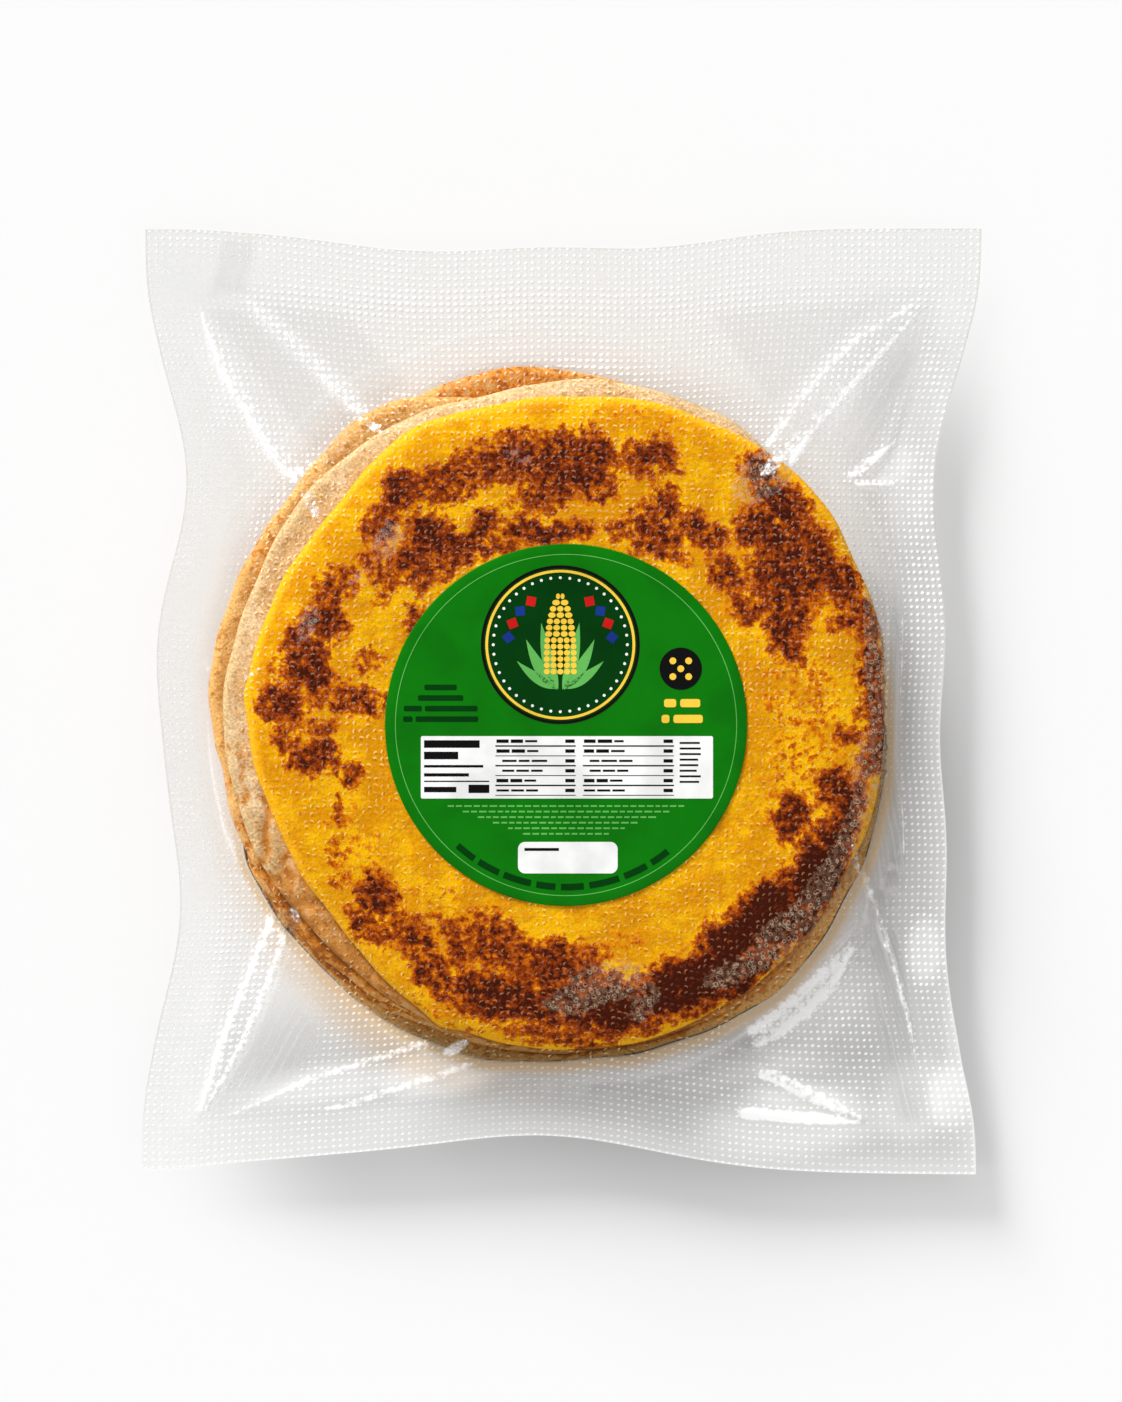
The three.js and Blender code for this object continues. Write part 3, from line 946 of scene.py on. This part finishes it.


# a square lattice of raised strokes: their height, the painted glint on each, the painted shade on its far
# side, and a chance for each
def makeEmboss(tree, flat, cling, dots):
    look = filmLook
    cells = vectors(tree, "SCALE", flat, scale=1.0 / (film["pitch"] * mm))
    chance = addNode(tree, "ShaderNodeTexWhiteNoise", {"Vector": vectors(tree, "FLOOR", cells)},
                     noise_dimensions="2D")
    stray = vectors(tree, "SUBTRACT", chance.outputs["Color"], (0.5, 0.5, 0.5))
    stray = vectors(tree, "SCALE", stray, scale=mixValue(tree, cling, *look["stray"]))
    inside = vectors(tree, "SUBTRACT", vectors(tree, "FRACTION", cells), (0.5, 0.5, 0.0))
    inside = vectors(tree, "SUBTRACT", inside, stray)
    twist = addNode(tree, "ShaderNodeSeparateColor", {"Color": chance.outputs["Color"]}).outputs[2]
    twist = swing(tree, twist, mixValue(tree, cling, *look["twist"]))
    inside = addNode(tree, "ShaderNodeVectorRotate", {"Vector": inside, "Angle": twist},
                     rotation_type="Z_AXIS").outputs[0]
    lengthwise = Vector((1.0 / look["dotLength"], 0.0, 0.0))
    sideways = Vector((0.0, 1.0 / look["dotBreadth"], 0.0))
    turned = Matrix.Rotation(math.radians(look["dotTurn"]), 3, "Z")
    size = plus(tree, 0.72, times(tree, dots, 0.32))
    along = vectors(tree, "DOT_PRODUCT", inside, turned @ lengthwise)
    along = maths(tree, "DIVIDE", times(tree, along, mixValue(tree, cling, *look["lengthBy"])), size)
    aside = vectors(tree, "DOT_PRODUCT", inside, turned @ sideways)
    aside = maths(tree, "DIVIDE", times(tree, aside, mixValue(tree, cling, *look["breadthBy"])), size)
    away = lengthOf(tree, along, aside)
    curled = fade(tree, lengthOf(tree, along, plus(tree, aside, 0.8)), 0.55, 1.0)     # a curl, not a dash
    paintedGlint = times(tree, fade(tree, away, 1.0, 0.55), mixValue(tree, cling, 1.0, curled))
    height = fade(tree, away, 1.4, 0.1)
    dotShade = fade(tree, lengthOf(tree, minus(tree, along, 0.2), plus(tree, aside, 1.1)), 1.2, 0.4)
    dotShade = times(tree, dotShade, minus(tree, 1.0, paintedGlint))
    return height, paintedGlint, dotShade, chance.outputs["Value"]


# crinkled patches: their mask, the curls in them, and how solid they are
def makeClouds(tree, flat, tears, web):
    look = filmLook
    grit = fade(tree, noiseAt(tree, flat, look["grit"], 2.0).outputs[0], 0.35, 0.62)
    patch = fade(tree, plus(tree, web, swing(tree, tears.outputs[0], 1.6)), 0.30, 0.75)
    patch = times(tree, patch, fade(tree, web, 0.02, 0.2))
    drift = vectors(tree, "SCALE", tears.outputs["Color"], scale=look["curlDrift"] * mm)
    curls = addNode(tree, "ShaderNodeTexVoronoi",
                    {"Vector": vectors(tree, "ADD", flat, drift), "Scale": look["curls"]})
    curls = minus(tree, curls.outputs["Distance"], 0.34)
    curls = fade(tree, maths(tree, "ABSOLUTE", curls), 0.12, 0.03)
    gritShare, curlShare = look["webShare"]
    solid = times(tree, plus(tree, times(tree, grit, gritShare), times(tree, curls, curlShare)), patch)
    return patch, curls, solid


def makeStreaks(tree):  # fine lines drawn out along the smooth facets
    across = times(tree, markOf(tree, "streak"), 0.75)
    lines = addNode(tree, "ShaderNodeTexNoise", {"W": across, "Scale": 1.0, "Detail": 2.0},
                    noise_dimensions="1D")
    return times(tree, fade(tree, lines.outputs[0], 0.46, 0.66), markOf(tree, "plain"))


def flatFacing(tree):  # a normal that turns upward by the cakes' edge, so that the haze is lit evenly there
    upward = addNode(tree, "ShaderNodeVectorTransform", {"Vector": (0.0, 0.0, 1.0)}, vector_type="NORMAL",
                     convert_from="OBJECT", convert_to="WORLD").outputs[0]
    lift = vectors(tree, "SCALE", upward, scale=times(tree, markOf(tree, "warm"), 3.0))
    own = addNode(tree, "ShaderNodeNewGeometry").outputs["Normal"]
    return vectors(tree, "NORMALIZE", vectors(tree, "ADD", own, lift))


def closeFilm(tree, glossy, cloudy, haze):  # the camera meets the film, and lamps a plain clear one
    whole = addNode(tree, "ShaderNodeMixShader", {0: haze, 1: glossy.outputs[0], 2: cloudy.outputs[0]})
    seen = addNode(tree, "ShaderNodeLightPath").outputs["Is Camera Ray"]
    lamps = mixColour(tree, markOf(tree, "block"), filmLook["lampClear"], filmLook["lampBlock"])
    passed = addNode(tree, "ShaderNodeBsdfTransparent", {"Color": lamps})
    split = addNode(tree, "ShaderNodeMixShader", {0: seen, 1: passed.outputs[0], 2: whole.outputs[0]})
    closeMaterial(tree, split.outputs[0])


def makeFilmMaterial():
    look = filmLook
    material, tree = newMaterial("clear_film")
    flat = addNode(tree, "ShaderNodeUVMap", uv_map="flat").outputs[0]
    cling = markOf(tree, "cling")
    dots = markOf(tree, "dots")
    height, paintedGlint, dotShade, chance = makeEmboss(tree, flat, cling, dots)
    even = plus(tree, 0.66, times(tree, chance, 0.36))
    uneven = plus(tree, 0.1, times(tree, fade(tree, chance, 0.1, 1.0), 1.15))
    strength = times(tree, dots, mixValue(tree, cling, even, uneven), clamp=True)
    height = times(tree, height, strength)
    paintedGlint = times(tree, paintedGlint, strength)
    tears = noiseAt(tree, flat, look["tears"], 3.0, 0.65)
    # the painted highlight along the folds' crests, broken up by the dots and by noise
    crestMark = markOf(tree, "crestGlare")
    ragged = plus(tree, plus(tree, crestMark, times(tree, height, 0.5)), swing(tree, tears.outputs[0], 1.2))
    crestGlare = times(tree, fade(tree, ragged, 0.42, 0.96), fade(tree, crestMark, 0.03, 0.3))
    patch, curls, cloud = makeClouds(tree, flat, tears, markOf(tree, "web"))
    toasted = fade(tree, markOf(tree, "toasted"), 0.1, 0.6)

    # the clear film, with painted shade on its facets and on the far side of each dot
    tint = mixColour(tree, markOf(tree, "shade"), look["clear"], look["facet"])
    relief = mixColour(tree, cling, look["relief"], look["dotShadeOver"])
    # painted shade: the dots' far sides and the film's cut edge on the lit side
    shadeShare = maths(tree, "MAXIMUM", times(tree, dotShade, strength), markOf(tree, "rim"))
    tint = mixColour(tree, shadeShare, tint, relief)
    clear = addNode(tree, "ShaderNodeBsdfTransparent", {"Color": tint})

    # its shine
    roughClear, roughHaze, hazeGloss = look["sheen"]
    bump = addNode(tree, "ShaderNodeBump",
                   {"Strength": 1.0, "Distance": look["dotHeight"] * mm, "Height": height})
    shine = addNode(tree, "ShaderNodeBsdfAnisotropic",
                    {"Color": (1, 1, 1, 1), "Roughness": roughClear, "Normal": bump.outputs[0]})
    mirror = addNode(tree, "ShaderNodeFresnel", {"IOR": 1.5, "Normal": bump.outputs[0]})
    openGloss, dotGloss = look["gloss"]
    gloss = times(tree, mirror.outputs[0], mixValue(tree, cling, openGloss, times(tree, height, dotGloss)))
    gloss = plus(tree, gloss, times(tree, crestGlare, look["crestGloss"]))
    glossy = addNode(tree, "ShaderNodeMixShader", {0: gloss, 1: clear.outputs[0], 2: shine.outputs[0]})

    # its haze: the painted glints of the embossing, cloudy patches, streaks and the painted highlights on
    # the folds' crests
    openShare, overShare, toastShare = look["dotShare"]
    overCakes = mixValue(tree, toasted, overShare, toastShare)
    paintedGlints = times(tree, paintedGlint, mixValue(tree, cling, openShare, overCakes))
    paintedGlints = times(tree, paintedGlints, minus(tree, 1.0, times(tree, patch, 0.8)))
    haze = plus(tree, markOf(tree, "haze"), maths(tree, "MAXIMUM", paintedGlints, cloud))
    haze = plus(tree, haze, times(tree, makeStreaks(tree), look["streakShare"]))
    haze = plus(tree, haze, times(tree, crestGlare, look["crestShare"]), clamp=True)
    glintOnTop = mixColour(tree, markOf(tree, "topmost"), look["glintOnRims"], look["glintOnTop"])
    glintOnTop = mixColour(tree, toasted, glintOnTop, look["glintOnToast"])
    glintColour = mixColour(tree, cling, look["paintedGlint"], glintOnTop)
    milk = mixColour(tree, markOf(tree, "warm"), look["haze"], look["paintedWarmGlow"])
    milk = mixColour(tree, patch, milk, mixColour(tree, curls, look["webFill"], look["webLine"]))
    milk = mixColour(tree, times(tree, paintedGlint, minus(tree, 1.0, patch)), milk, glintColour)
    milk = mixColour(tree, crestGlare, milk, look["paintedGlint"])
    cloudy = addNode(tree, "ShaderNodeBsdfPrincipled",
                     {"Base Color": milk, "Roughness": roughHaze, "Specular IOR Level": hazeGloss,
                      "Normal": flatFacing(tree)})
    closeFilm(tree, glossy, cloudy, haze)
    return material


underLook = {  # the lower sheet is plain
    "gloss": 0.015,
    "roughness": 0.2,
    "waves": 60.0,          # lumps to the metre
    "haze": (0.01, 0.06),   # the least, and what the waves add
    "hazeRoughness": 0.45,
}


def makeUnderMaterial():
    look = underLook
    material, tree = newMaterial("under_film")
    clear = addNode(tree, "ShaderNodeBsdfTransparent", {"Color": paint(filmLook["clear"])})
    shine = addNode(tree, "ShaderNodeBsdfAnisotropic",
                    {"Color": (1, 1, 1, 1), "Roughness": look["roughness"]})
    glossy = addNode(tree, "ShaderNodeMixShader",
                     {0: look["gloss"], 1: clear.outputs[0], 2: shine.outputs[0]})
    waves = noiseAt(tree, objectPlace(tree), look["waves"], 1.0)
    haze = plus(tree, look["haze"][0], times(tree, waves.outputs[0], look["haze"][1]))
    cloudy = addNode(tree, "ShaderNodeBsdfPrincipled",
                     {"Base Color": paint(filmLook["haze"]), "Roughness": look["hazeRoughness"]})
    closeFilm(tree, glossy, cloudy, haze)
    return material


topSheet = makeSheet("film_top", film["cell"], filmTop, makeFilmMaterial())
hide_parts("pouch")
makeSheet("film_under", film["underCell"], filmUnder, makeUnderMaterial(), faceDown=True)
print("film made")


# the label: a round paper sticker and its print

label = {
    "radius": labelHigh.x - labelCentre.x,
    "thickness": 0.16,
    "gap": 0.04,                 # between it and the film
    "ring": 47.6,                # of the thin pale line near the edge
    "badgeAt": (-1.6, 22.4),     # off the label's centre
    "badge": 21.0,
    "squares": (14.6, 2.6),      # how far out the badge's coloured squares are, and their side
    "spotAt": (32.0, 15.7),
    "spot": 5.9,
    "panel": (-40.5, -3.1, 81.5, 17.4),      # left, top, width, height
    "box": (-13.4, -32.6, 27.8, 8.8),
}
inkStep = 0.03  # height of each layer of print over the one below


def labelHeight(x, y):
    return labelLow.z + label["gap"] + stackLift(x, y)


def settlePrint(bm, name, layer, material):  # gives flat shapes a thickness and lays them down
    bmesh.ops.remove_doubles(bm, verts=bm.verts, dist=1e-3)
    bmesh.ops.recalc_face_normals(bm, faces=bm.faces)
    bmesh.ops.reverse_faces(bm, faces=[face for face in bm.faces if face.normal.z < 0])
    made = bmesh.ops.extrude_face_region(bm, geom=bm.faces[:])
    raised = [part for part in made["geom"] if isinstance(part, bmesh.types.BMVert)]
    bmesh.ops.translate(bm, verts=raised, vec=(0, 0, inkStep * 0.8))
    bmesh.ops.recalc_face_normals(bm, faces=bm.faces)
    for vert in bm.verts:
        x = labelCentre.x + vert.co.x
        y = labelCentre.y + vert.co.y
        base = labelHeight(x, y) + label["thickness"] + inkStep * (layer + 0.1)
        vert.co = Vector((x, y, base + vert.co.z)) * mm
    piece = finishMesh(bm, name, material)
    for face in piece.data.polygons:
        face.use_smooth = False
    return piece


def addBar(bm, x, y, width, height, turn=0.0, roundness=0.0, cell=5.0):  # centred on x, y
    verts = bmesh.ops.create_grid(bm, x_segments=1, y_segments=1, size=0.5)["verts"]
    bmesh.ops.transform(bm, matrix=Matrix.Diagonal((width, height, 1, 1)), verts=verts)
    face = verts[0].link_faces[0]
    if roundness:
        made = bmesh.ops.bevel(bm, geom=verts, offset=roundness, segments=6, profile=0.5, affect="VERTICES",
                               material=-1)
        face = made["faces"][0] if made["faces"] else made["verts"][0].link_faces[0]
    part = list(face.verts) + list(face.edges) + [face]
    for axis, length in ((0, width), (1, height)):
        normal = Vector((1 - axis, axis, 0))
        for cut in range(1, math.ceil(length / cell)):
            place = normal * (length * cut / math.ceil(length / cell) - length / 2.0)
            part = bmesh.ops.bisect_plane(bm, geom=part, dist=1e-5, plane_co=place, plane_no=normal)["geom"]
    place = Matrix.Translation((x, y, 0)) @ Matrix.Rotation(math.radians(turn), 4, "Z")
    corners = [item for item in part if isinstance(item, bmesh.types.BMVert)]
    bmesh.ops.transform(bm, matrix=place, verts=corners)


def addDisc(bm, x, y, radius, points):
    made = bmesh.ops.create_circle(bm, cap_ends=True, segments=points, radius=radius,
                                   matrix=Matrix.Translation((x, y, 0)))
    return made["verts"]


def addRing(bm, x, y, inner, outer, start=0.0, sweep=360.0, rows=1, steps=96):
    verts = [bm.verts.new((x + inner + (outer - inner) * row / rows, y, 0)) for row in range(rows + 1)]
    edges = [bm.edges.new(pair) for pair in zip(verts, verts[1:])]
    whole = sweep >= 360.0
    bmesh.ops.rotate(bm, verts=verts, cent=(x, y, 0), matrix=Matrix.Rotation(math.radians(start), 3, "Z"))
    bmesh.ops.spin(bm, geom=verts + edges, cent=(x, y, 0), axis=(0, 0, 1), angle=math.radians(sweep),
                   steps=steps, use_merge=whole)


def addLeaf(bm, x, y, length, width, turn, bend):  # a pointed leaf that starts at x, y
    verts = bmesh.ops.create_grid(bm, x_segments=14, y_segments=2, size=0.5)["verts"]
    for vert in verts:
        share = vert.co.x + 0.5
        half = width * math.sin(math.pi * min(1.0, share) ** 0.8) * 0.999 + 0.02
        vert.co = Vector((share * length, vert.co.y * half + bend * share * share, 0))
    place = Matrix.Translation((x, y, 0)) @ Matrix.Rotation(math.radians(turn), 4, "Z")
    bmesh.ops.transform(bm, matrix=place, verts=verts)


printing = {  # what all the inks share
    "grain": 1500.0,        # lumps to the metre
    "clouds": 70.0,
    "deep": 0.80,           # how much light the darker clouds give back
    "relief": 0.08,
    "bump": 0.25,
    "grainRoughness": 0.6,
    "sheen": 0.06,
}


def makeInkMaterial(name, colour, shift=0.10, rough=0.38):
    material, tree = newMaterial(name)
    place = objectPlace(tree)
    fine = placeGroup(tree, grainGroup, {"Place": place, "Scale": printing["grain"], "Strength": shift})
    broad = noiseAt(tree, place, printing["clouds"], 3.0)
    deep = tuple(part * printing["deep"] for part in paint(colour)[:3]) + (1.0,)
    shade = mixColour(tree, fade(tree, broad.outputs[0], 0.35, 0.70), colour, deep)
    shade = mottled(tree, shade, fine.outputs["Mask"])
    bump = addNode(tree, "ShaderNodeBump",
                   {"Strength": printing["bump"], "Distance": printing["relief"] * mm,
                    "Height": fine.outputs["Height"]})
    roughness = plus(tree, rough, times(tree, fine.outputs["Mask"], printing["grainRoughness"]))
    ink = addNode(tree, "ShaderNodeBsdfPrincipled",
                  {"Base Color": shade, "Roughness": roughness, "Normal": bump.outputs[0],
                   "Specular IOR Level": printing["sheen"]})
    closeMaterial(tree, ink.outputs[0])
    return material


inks = {
    "green": makeInkMaterial("label_green", (8, 112, 6), 0.06, 0.5),
    "darkGreen": makeInkMaterial("ink_dark_green", (2, 56, 10)),
    "paleGreen": makeInkMaterial("ink_pale_green", (96, 176, 84)),
    "gold": makeInkMaterial("ink_gold", (242, 198, 66)),
    "white": makeInkMaterial("ink_white", (238, 238, 236), 0.04),
    "black": makeInkMaterial("ink_black", (14, 14, 14), 0.04),
    "blue": makeInkMaterial("ink_blue", (24, 52, 132)),
    "red": makeInkMaterial("ink_red", (196, 26, 24)),
}


def makeLabelBase():
    bm = bmesh.new()
    radius = label["radius"]
    edge = label["thickness"]
    section = [(distance, edge) for distance in range(0, int(radius), 2)]
    section += [(radius - 0.2, edge), (radius, edge * 0.5), (radius - 0.05, 0.0)]
    section += [(radius * 0.5, 0.0), (0.0, 0.0)]
    verts = [bm.verts.new((distance, 0, height)) for distance, height in section]
    edges = [bm.edges.new(pair) for pair in zip(verts, verts[1:])]
    bmesh.ops.spin(bm, geom=verts + edges, cent=(0, 0, 0), axis=(0, 0, 1), angle=2 * math.pi, steps=180,
                   use_merge=True)
    bmesh.ops.remove_doubles(bm, verts=bm.verts, dist=1e-3)
    bmesh.ops.recalc_face_normals(bm, faces=bm.faces)
    for vert in bm.verts:
        x = labelCentre.x + vert.co.x
        y = labelCentre.y + vert.co.y
        vert.co = Vector((x, y, labelHeight(x, y) + vert.co.z)) * mm
    piece = finishMesh(bm, "label_paper", inks["green"])
    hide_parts("label")
    return piece


def makePaleLines():
    bm = bmesh.new()
    addRing(bm, 0, 0, label["ring"] - 0.12, label["ring"] + 0.12, steps=180)
    for row in range(6):                        # rows of small dashes under the panel
        width = 66.0 - 8.4 * row
        x = -width / 2.0
        index = 0
        while x < width / 2.0 - 0.8:
            size = 1.2 + 0.9 * (ripple(index * 1.7, row * 3.1, 1.0, 2.0) + 0.6)
            addBar(bm, x + size / 2.0, -22.6 - 1.55 * row, size, 0.5)
            x += size + 0.55
            index += 1
    return settlePrint(bm, "print_pale_lines", 1, inks["paleGreen"])


def makeBadge():  # a round badge with an ear of corn between leaves
    atX, atY = label["badgeAt"]
    radius = label["badge"]
    rim = bmesh.new()
    addRing(rim, atX, atY, radius + 0.35, radius + 1.15, steps=120)
    settlePrint(rim, "print_badge_outline", 1, inks["black"])
    field = bmesh.new()
    addRing(field, atX, atY, 0.0, radius + 0.35, rows=6, steps=72)
    settlePrint(field, "print_badge_field", 1, inks["darkGreen"])
    gold = bmesh.new()
    addRing(gold, atX, atY, radius - 0.85, radius - 0.1, steps=120)
    for row in range(13):                      # kernels, in staggered rows that narrow to the tip
        share = row / 12.0
        half = 4.7 * math.sqrt(max(0.0, 1.0 - (share * 1.02 - 0.18) ** 2 / 0.76)) if share > 0.18 else 4.7
        count = max(2, round(half / 1.0))
        for column in range(count):
            across = (column - (count - 1) / 2.0) * 2.0 * half / count
            scale = Matrix.Diagonal((1.85 * half / count, 1.62, 1, 1))
            place = Matrix.Translation((atX + across, atY - 7.5 + 1.75 * row, 0)) @ scale
            bmesh.ops.transform(gold, matrix=place, verts=addDisc(gold, 0, 0, 0.5, 10))
    settlePrint(gold, "print_badge_gold", 3, inks["gold"])
    leaves = bmesh.new()
    for side in (-1, 1):
        addLeaf(leaves, atX + side * 0.6, atY - 12.5, 19.0, 3.4, 90 - side * 22, side * 2.6)
        addLeaf(leaves, atX + side * 1.0, atY - 12.5, 16.0, 3.4, 90 - side * 44, side * 3.6)
        addLeaf(leaves, atX + side * 1.2, atY - 12.2, 13.0, 2.8, 90 - side * 68, side * 3.0)
    settlePrint(leaves, "print_badge_leaves", 2, inks["paleGreen"])
    beads = bmesh.new()
    beadRing = radius - 2.3
    for step in range(44):
        turn = 2 * math.pi * step / 44
        addDisc(beads, atX + beadRing * math.cos(turn), atY + beadRing * math.sin(turn), 0.42, 10)
    settlePrint(beads, "print_badge_beads", 2, inks["white"])
    out, size = label["squares"]
    for ink, first in (("red", 34), ("blue", 50)):      # set cornerwise on either side
        squares = bmesh.new()
        for side in (-1, 1):
            for step in range(2):
                turn = 90 + side * (first + 32 * step)
                x = atX + out * math.cos(math.radians(turn))
                y = atY + out * math.sin(math.radians(turn))
                addBar(squares, x, y, size, size, turn=turn + 45)
        settlePrint(squares, "print_badge_" + ink, 2, inks[ink])


def makeSpot():  # a black disc with five gold dots, one for each cake
    atX, atY = label["spotAt"]
    disc = bmesh.new()
    addDisc(disc, atX, atY, label["spot"], 64)
    settlePrint(disc, "print_spot", 1, inks["black"])
    dots = bmesh.new()
    for x, y in ((0, 0), (-1, -1), (-1, 1), (1, -1), (1, 1)):
        addDisc(dots, atX + 2.2 * x, atY + 2.2 * y, 0.95, 24)
    for row, sizes in enumerate(((3.4, 5.6), (2.2, 8.2))):
        width = sum(sizes) + 1.1
        x = atX + 0.4 - width / 2.0
        for size in sizes:
            addBar(dots, x + size / 2.0, atY - 9.6 - 4.4 * row, size, 2.3, roundness=0.7)
            x += size + 1.1
    settlePrint(dots, "print_spot_dots", 2, inks["gold"])


def makePanel():  # a white panel of ruled rows, and a white box below
    left, top, width, height = label["panel"]
    white = bmesh.new()
    addBar(white, left + width / 2.0, top - height / 2.0, width, height, roundness=0.5)
    boxLeft, boxTop, boxWidth, boxHeight = label["box"]
    addBar(white, boxLeft + boxWidth / 2.0, boxTop - boxHeight / 2.0, boxWidth, boxHeight, roundness=2.0)
    settlePrint(white, "print_panel", 1, inks["white"])
    black = bmesh.new()
    for drop, size, thick in ((2.2, 15.5, 2.1), (5.4, 9.5, 2.1), (8.4, 16.5, 0.7), (10.8, 12.5, 0.9)):
        addBar(black, left + 0.9 + size / 2.0, top - drop, size, thick)
    addBar(black, left + 5.4, top - 14.9, 9.0, 1.5)
    addBar(black, left + 16.2, top - 14.7, 5.8, 2.3)
    addBar(black, left + 10.0, top - 12.6, 18.2, 0.35)
    for column, (start, size) in enumerate(((20.8, 22.4), (45.2, 25.4))):
        for row in range(6):
            drop = 1.4 + 2.75 * row
            addBar(black, left + start + size / 2.0, top - drop - 1.35, size, 0.22 if row % 2 else 0.4)
            indent = 1.6 if row in (2, 3) else 0.0
            x = left + start + 0.3 + indent
            for word in range(3):
                length = 2.2 + 1.7 * (ripple(column * 3.3 + word, row * 2.7, 1.0, 5.0) + 0.7)
                thick = 0.95 if row in (0, 1, 4) and word < 2 else 0.6
                if x + length < left + start + size - 4.4:
                    addBar(black, x + length / 2.0, top - drop, length, thick)
                x += length + 0.6
            addBar(black, left + start + size - 1.6, top - drop, 2.6, 0.95)
    for row in range(8):
        length = 5.6 + 1.6 * ripple(row * 1.9, 4.0, 1.0, 1.0)
        addBar(black, left + 72.2 + length / 2.0, top - 1.9 - 1.55 * row, length, 0.55)
    addBar(black, boxLeft + 6.6, boxTop - 2.1, 9.6, 0.8)
    settlePrint(black, "print_panel_rules", 2, inks["black"])


def makeDarkMarks():  # rows of dashes at the left and along the lower edge
    bm = bmesh.new()
    for row, sizes in enumerate(((9.0,), (12.6,), (5.0, 14.6), (2.6, 17.4))):
        width = sum(sizes) + 0.9 * (len(sizes) - 1)
        x = -35.0 - width / 2.0
        for size in sizes:
            addBar(bm, x + size / 2.0, 10.5 - 2.95 * row, size, 1.5, roundness=0.4)
            x += size + 0.9
    turn = 228.0
    index = 0
    while turn < 308.0:
        sweep = 4.6 + 5.2 * (ripple(index * 2.3, 1.0, 1.0, 3.0) + 0.55)
        addRing(bm, 0, 0, 44.3, 46.1, start=turn, sweep=sweep, steps=max(2, round(sweep)))
        turn += sweep + 2.0
        index += 1
    return settlePrint(bm, "print_dark_marks", 1, inks["darkGreen"])


makeLabelBase()
makePaleLines()
makeBadge()
makeSpot()
makePanel()
makeDarkMarks()
print("label made")


# floor, light and camera

studio = {  # its lengths are in metres, apart from where the camera stands and how much it sees
    "floor": (231, 231, 231),
    "floorHalf": 3.0,
    "sky": 0.58,
    "skyTop": 0.0,              # straight above, behind the camera
    "skyFade": (0.72, 0.92),    # between these rises, as the sine of their angle
    # from: across the floor towards the light, height and spread in degrees
    "softboxes": {
        "key": {"from": (-0.52, 0.855), "height": 21.0, "spread": 25.0, "power": 4.6},
        "side": {"from": (-0.95, -0.31), "height": 48.0, "spread": 15.0, "power": 0.36},
        "fill": {"from": (0.5, -0.87), "height": 64.0, "spread": 30.0, "power": 0.77},
    },
    "cameraHeight": 1.6,
    "cameraAt": (-1.4, 0.3),
    "viewLength": 392.6,        # seen along Y, at the height of the film
    "filmHeight": 0.018,
    "sensor": 36.0,
}


def makeFloor():
    bm = bmesh.new()
    bmesh.ops.create_grid(bm, x_segments=8, y_segments=8, size=studio["floorHalf"])
    mesh = bpy.data.meshes.new("floor")
    bm.to_mesh(mesh)
    bm.free()
    floor = bpy.data.objects.new("floor", mesh)
    bpy.context.scene.collection.objects.link(floor)
    material, tree = newMaterial("floor_white")
    matt = addNode(tree, "ShaderNodeBsdfDiffuse", {"Color": paint(studio["floor"])})
    closeMaterial(tree, matt.outputs[0])
    mesh.materials.append(material)


def addSoftbox(name, light):  # a large, far light, so that the floor is lit evenly
    lamp = bpy.data.lights.new(name, "SUN")
    lamp.angle = math.radians(light["spread"])
    lamp.energy = light["power"]
    box = bpy.data.objects.new(name, lamp)
    bpy.context.scene.collection.objects.link(box)
    rise = math.radians(light["height"])
    across = Vector((light["from"][0], light["from"][1], 0)).normalized() * math.cos(rise)
    box.location = across + Vector((0, 0, math.sin(rise)))
    box.rotation_euler = box.location.to_track_quat("Z", "Y").to_euler()


def makeSky():  # white all round, and darker straight above
    world = bpy.data.worlds.new("studio")
    world.use_nodes = True
    tree = world.node_tree
    direction = addNode(tree, "ShaderNodeTexCoord").outputs["Generated"]
    upward = addNode(tree, "ShaderNodeSeparateXYZ", {0: direction}).outputs[2]
    low, high = studio["skyFade"]
    strength = addNode(tree, "ShaderNodeMapRange",
                       {"Value": upward, "From Min": low, "From Max": high, "To Min": studio["sky"],
                        "To Max": studio["skyTop"]}, interpolation_type="SMOOTHSTEP")
    tree.links.new(strength.outputs["Result"], tree.nodes["Background"].inputs["Strength"])
    tree.nodes["Background"].inputs["Color"].default_value = (1, 1, 1, 1)
    bpy.context.scene.world = world


def makeStudio():
    scene = bpy.context.scene
    makeFloor()
    for name, light in studio["softboxes"].items():
        addSoftbox(name, light)
    makeSky()
    scene.view_settings.view_transform = "Standard"
    lens = bpy.data.cameras.new("camera")
    lens.sensor_width = studio["sensor"]
    seenFrom = studio["cameraHeight"] - studio["filmHeight"]
    lens.lens = studio["sensor"] * seenFrom / (studio["viewLength"] * mm)
    camera = bpy.data.objects.new("camera", lens)
    camera.location = (studio["cameraAt"][0] * mm, studio["cameraAt"][1] * mm, studio["cameraHeight"])
    scene.collection.objects.link(camera)
    scene.camera = camera


makeStudio()
print("studio made")
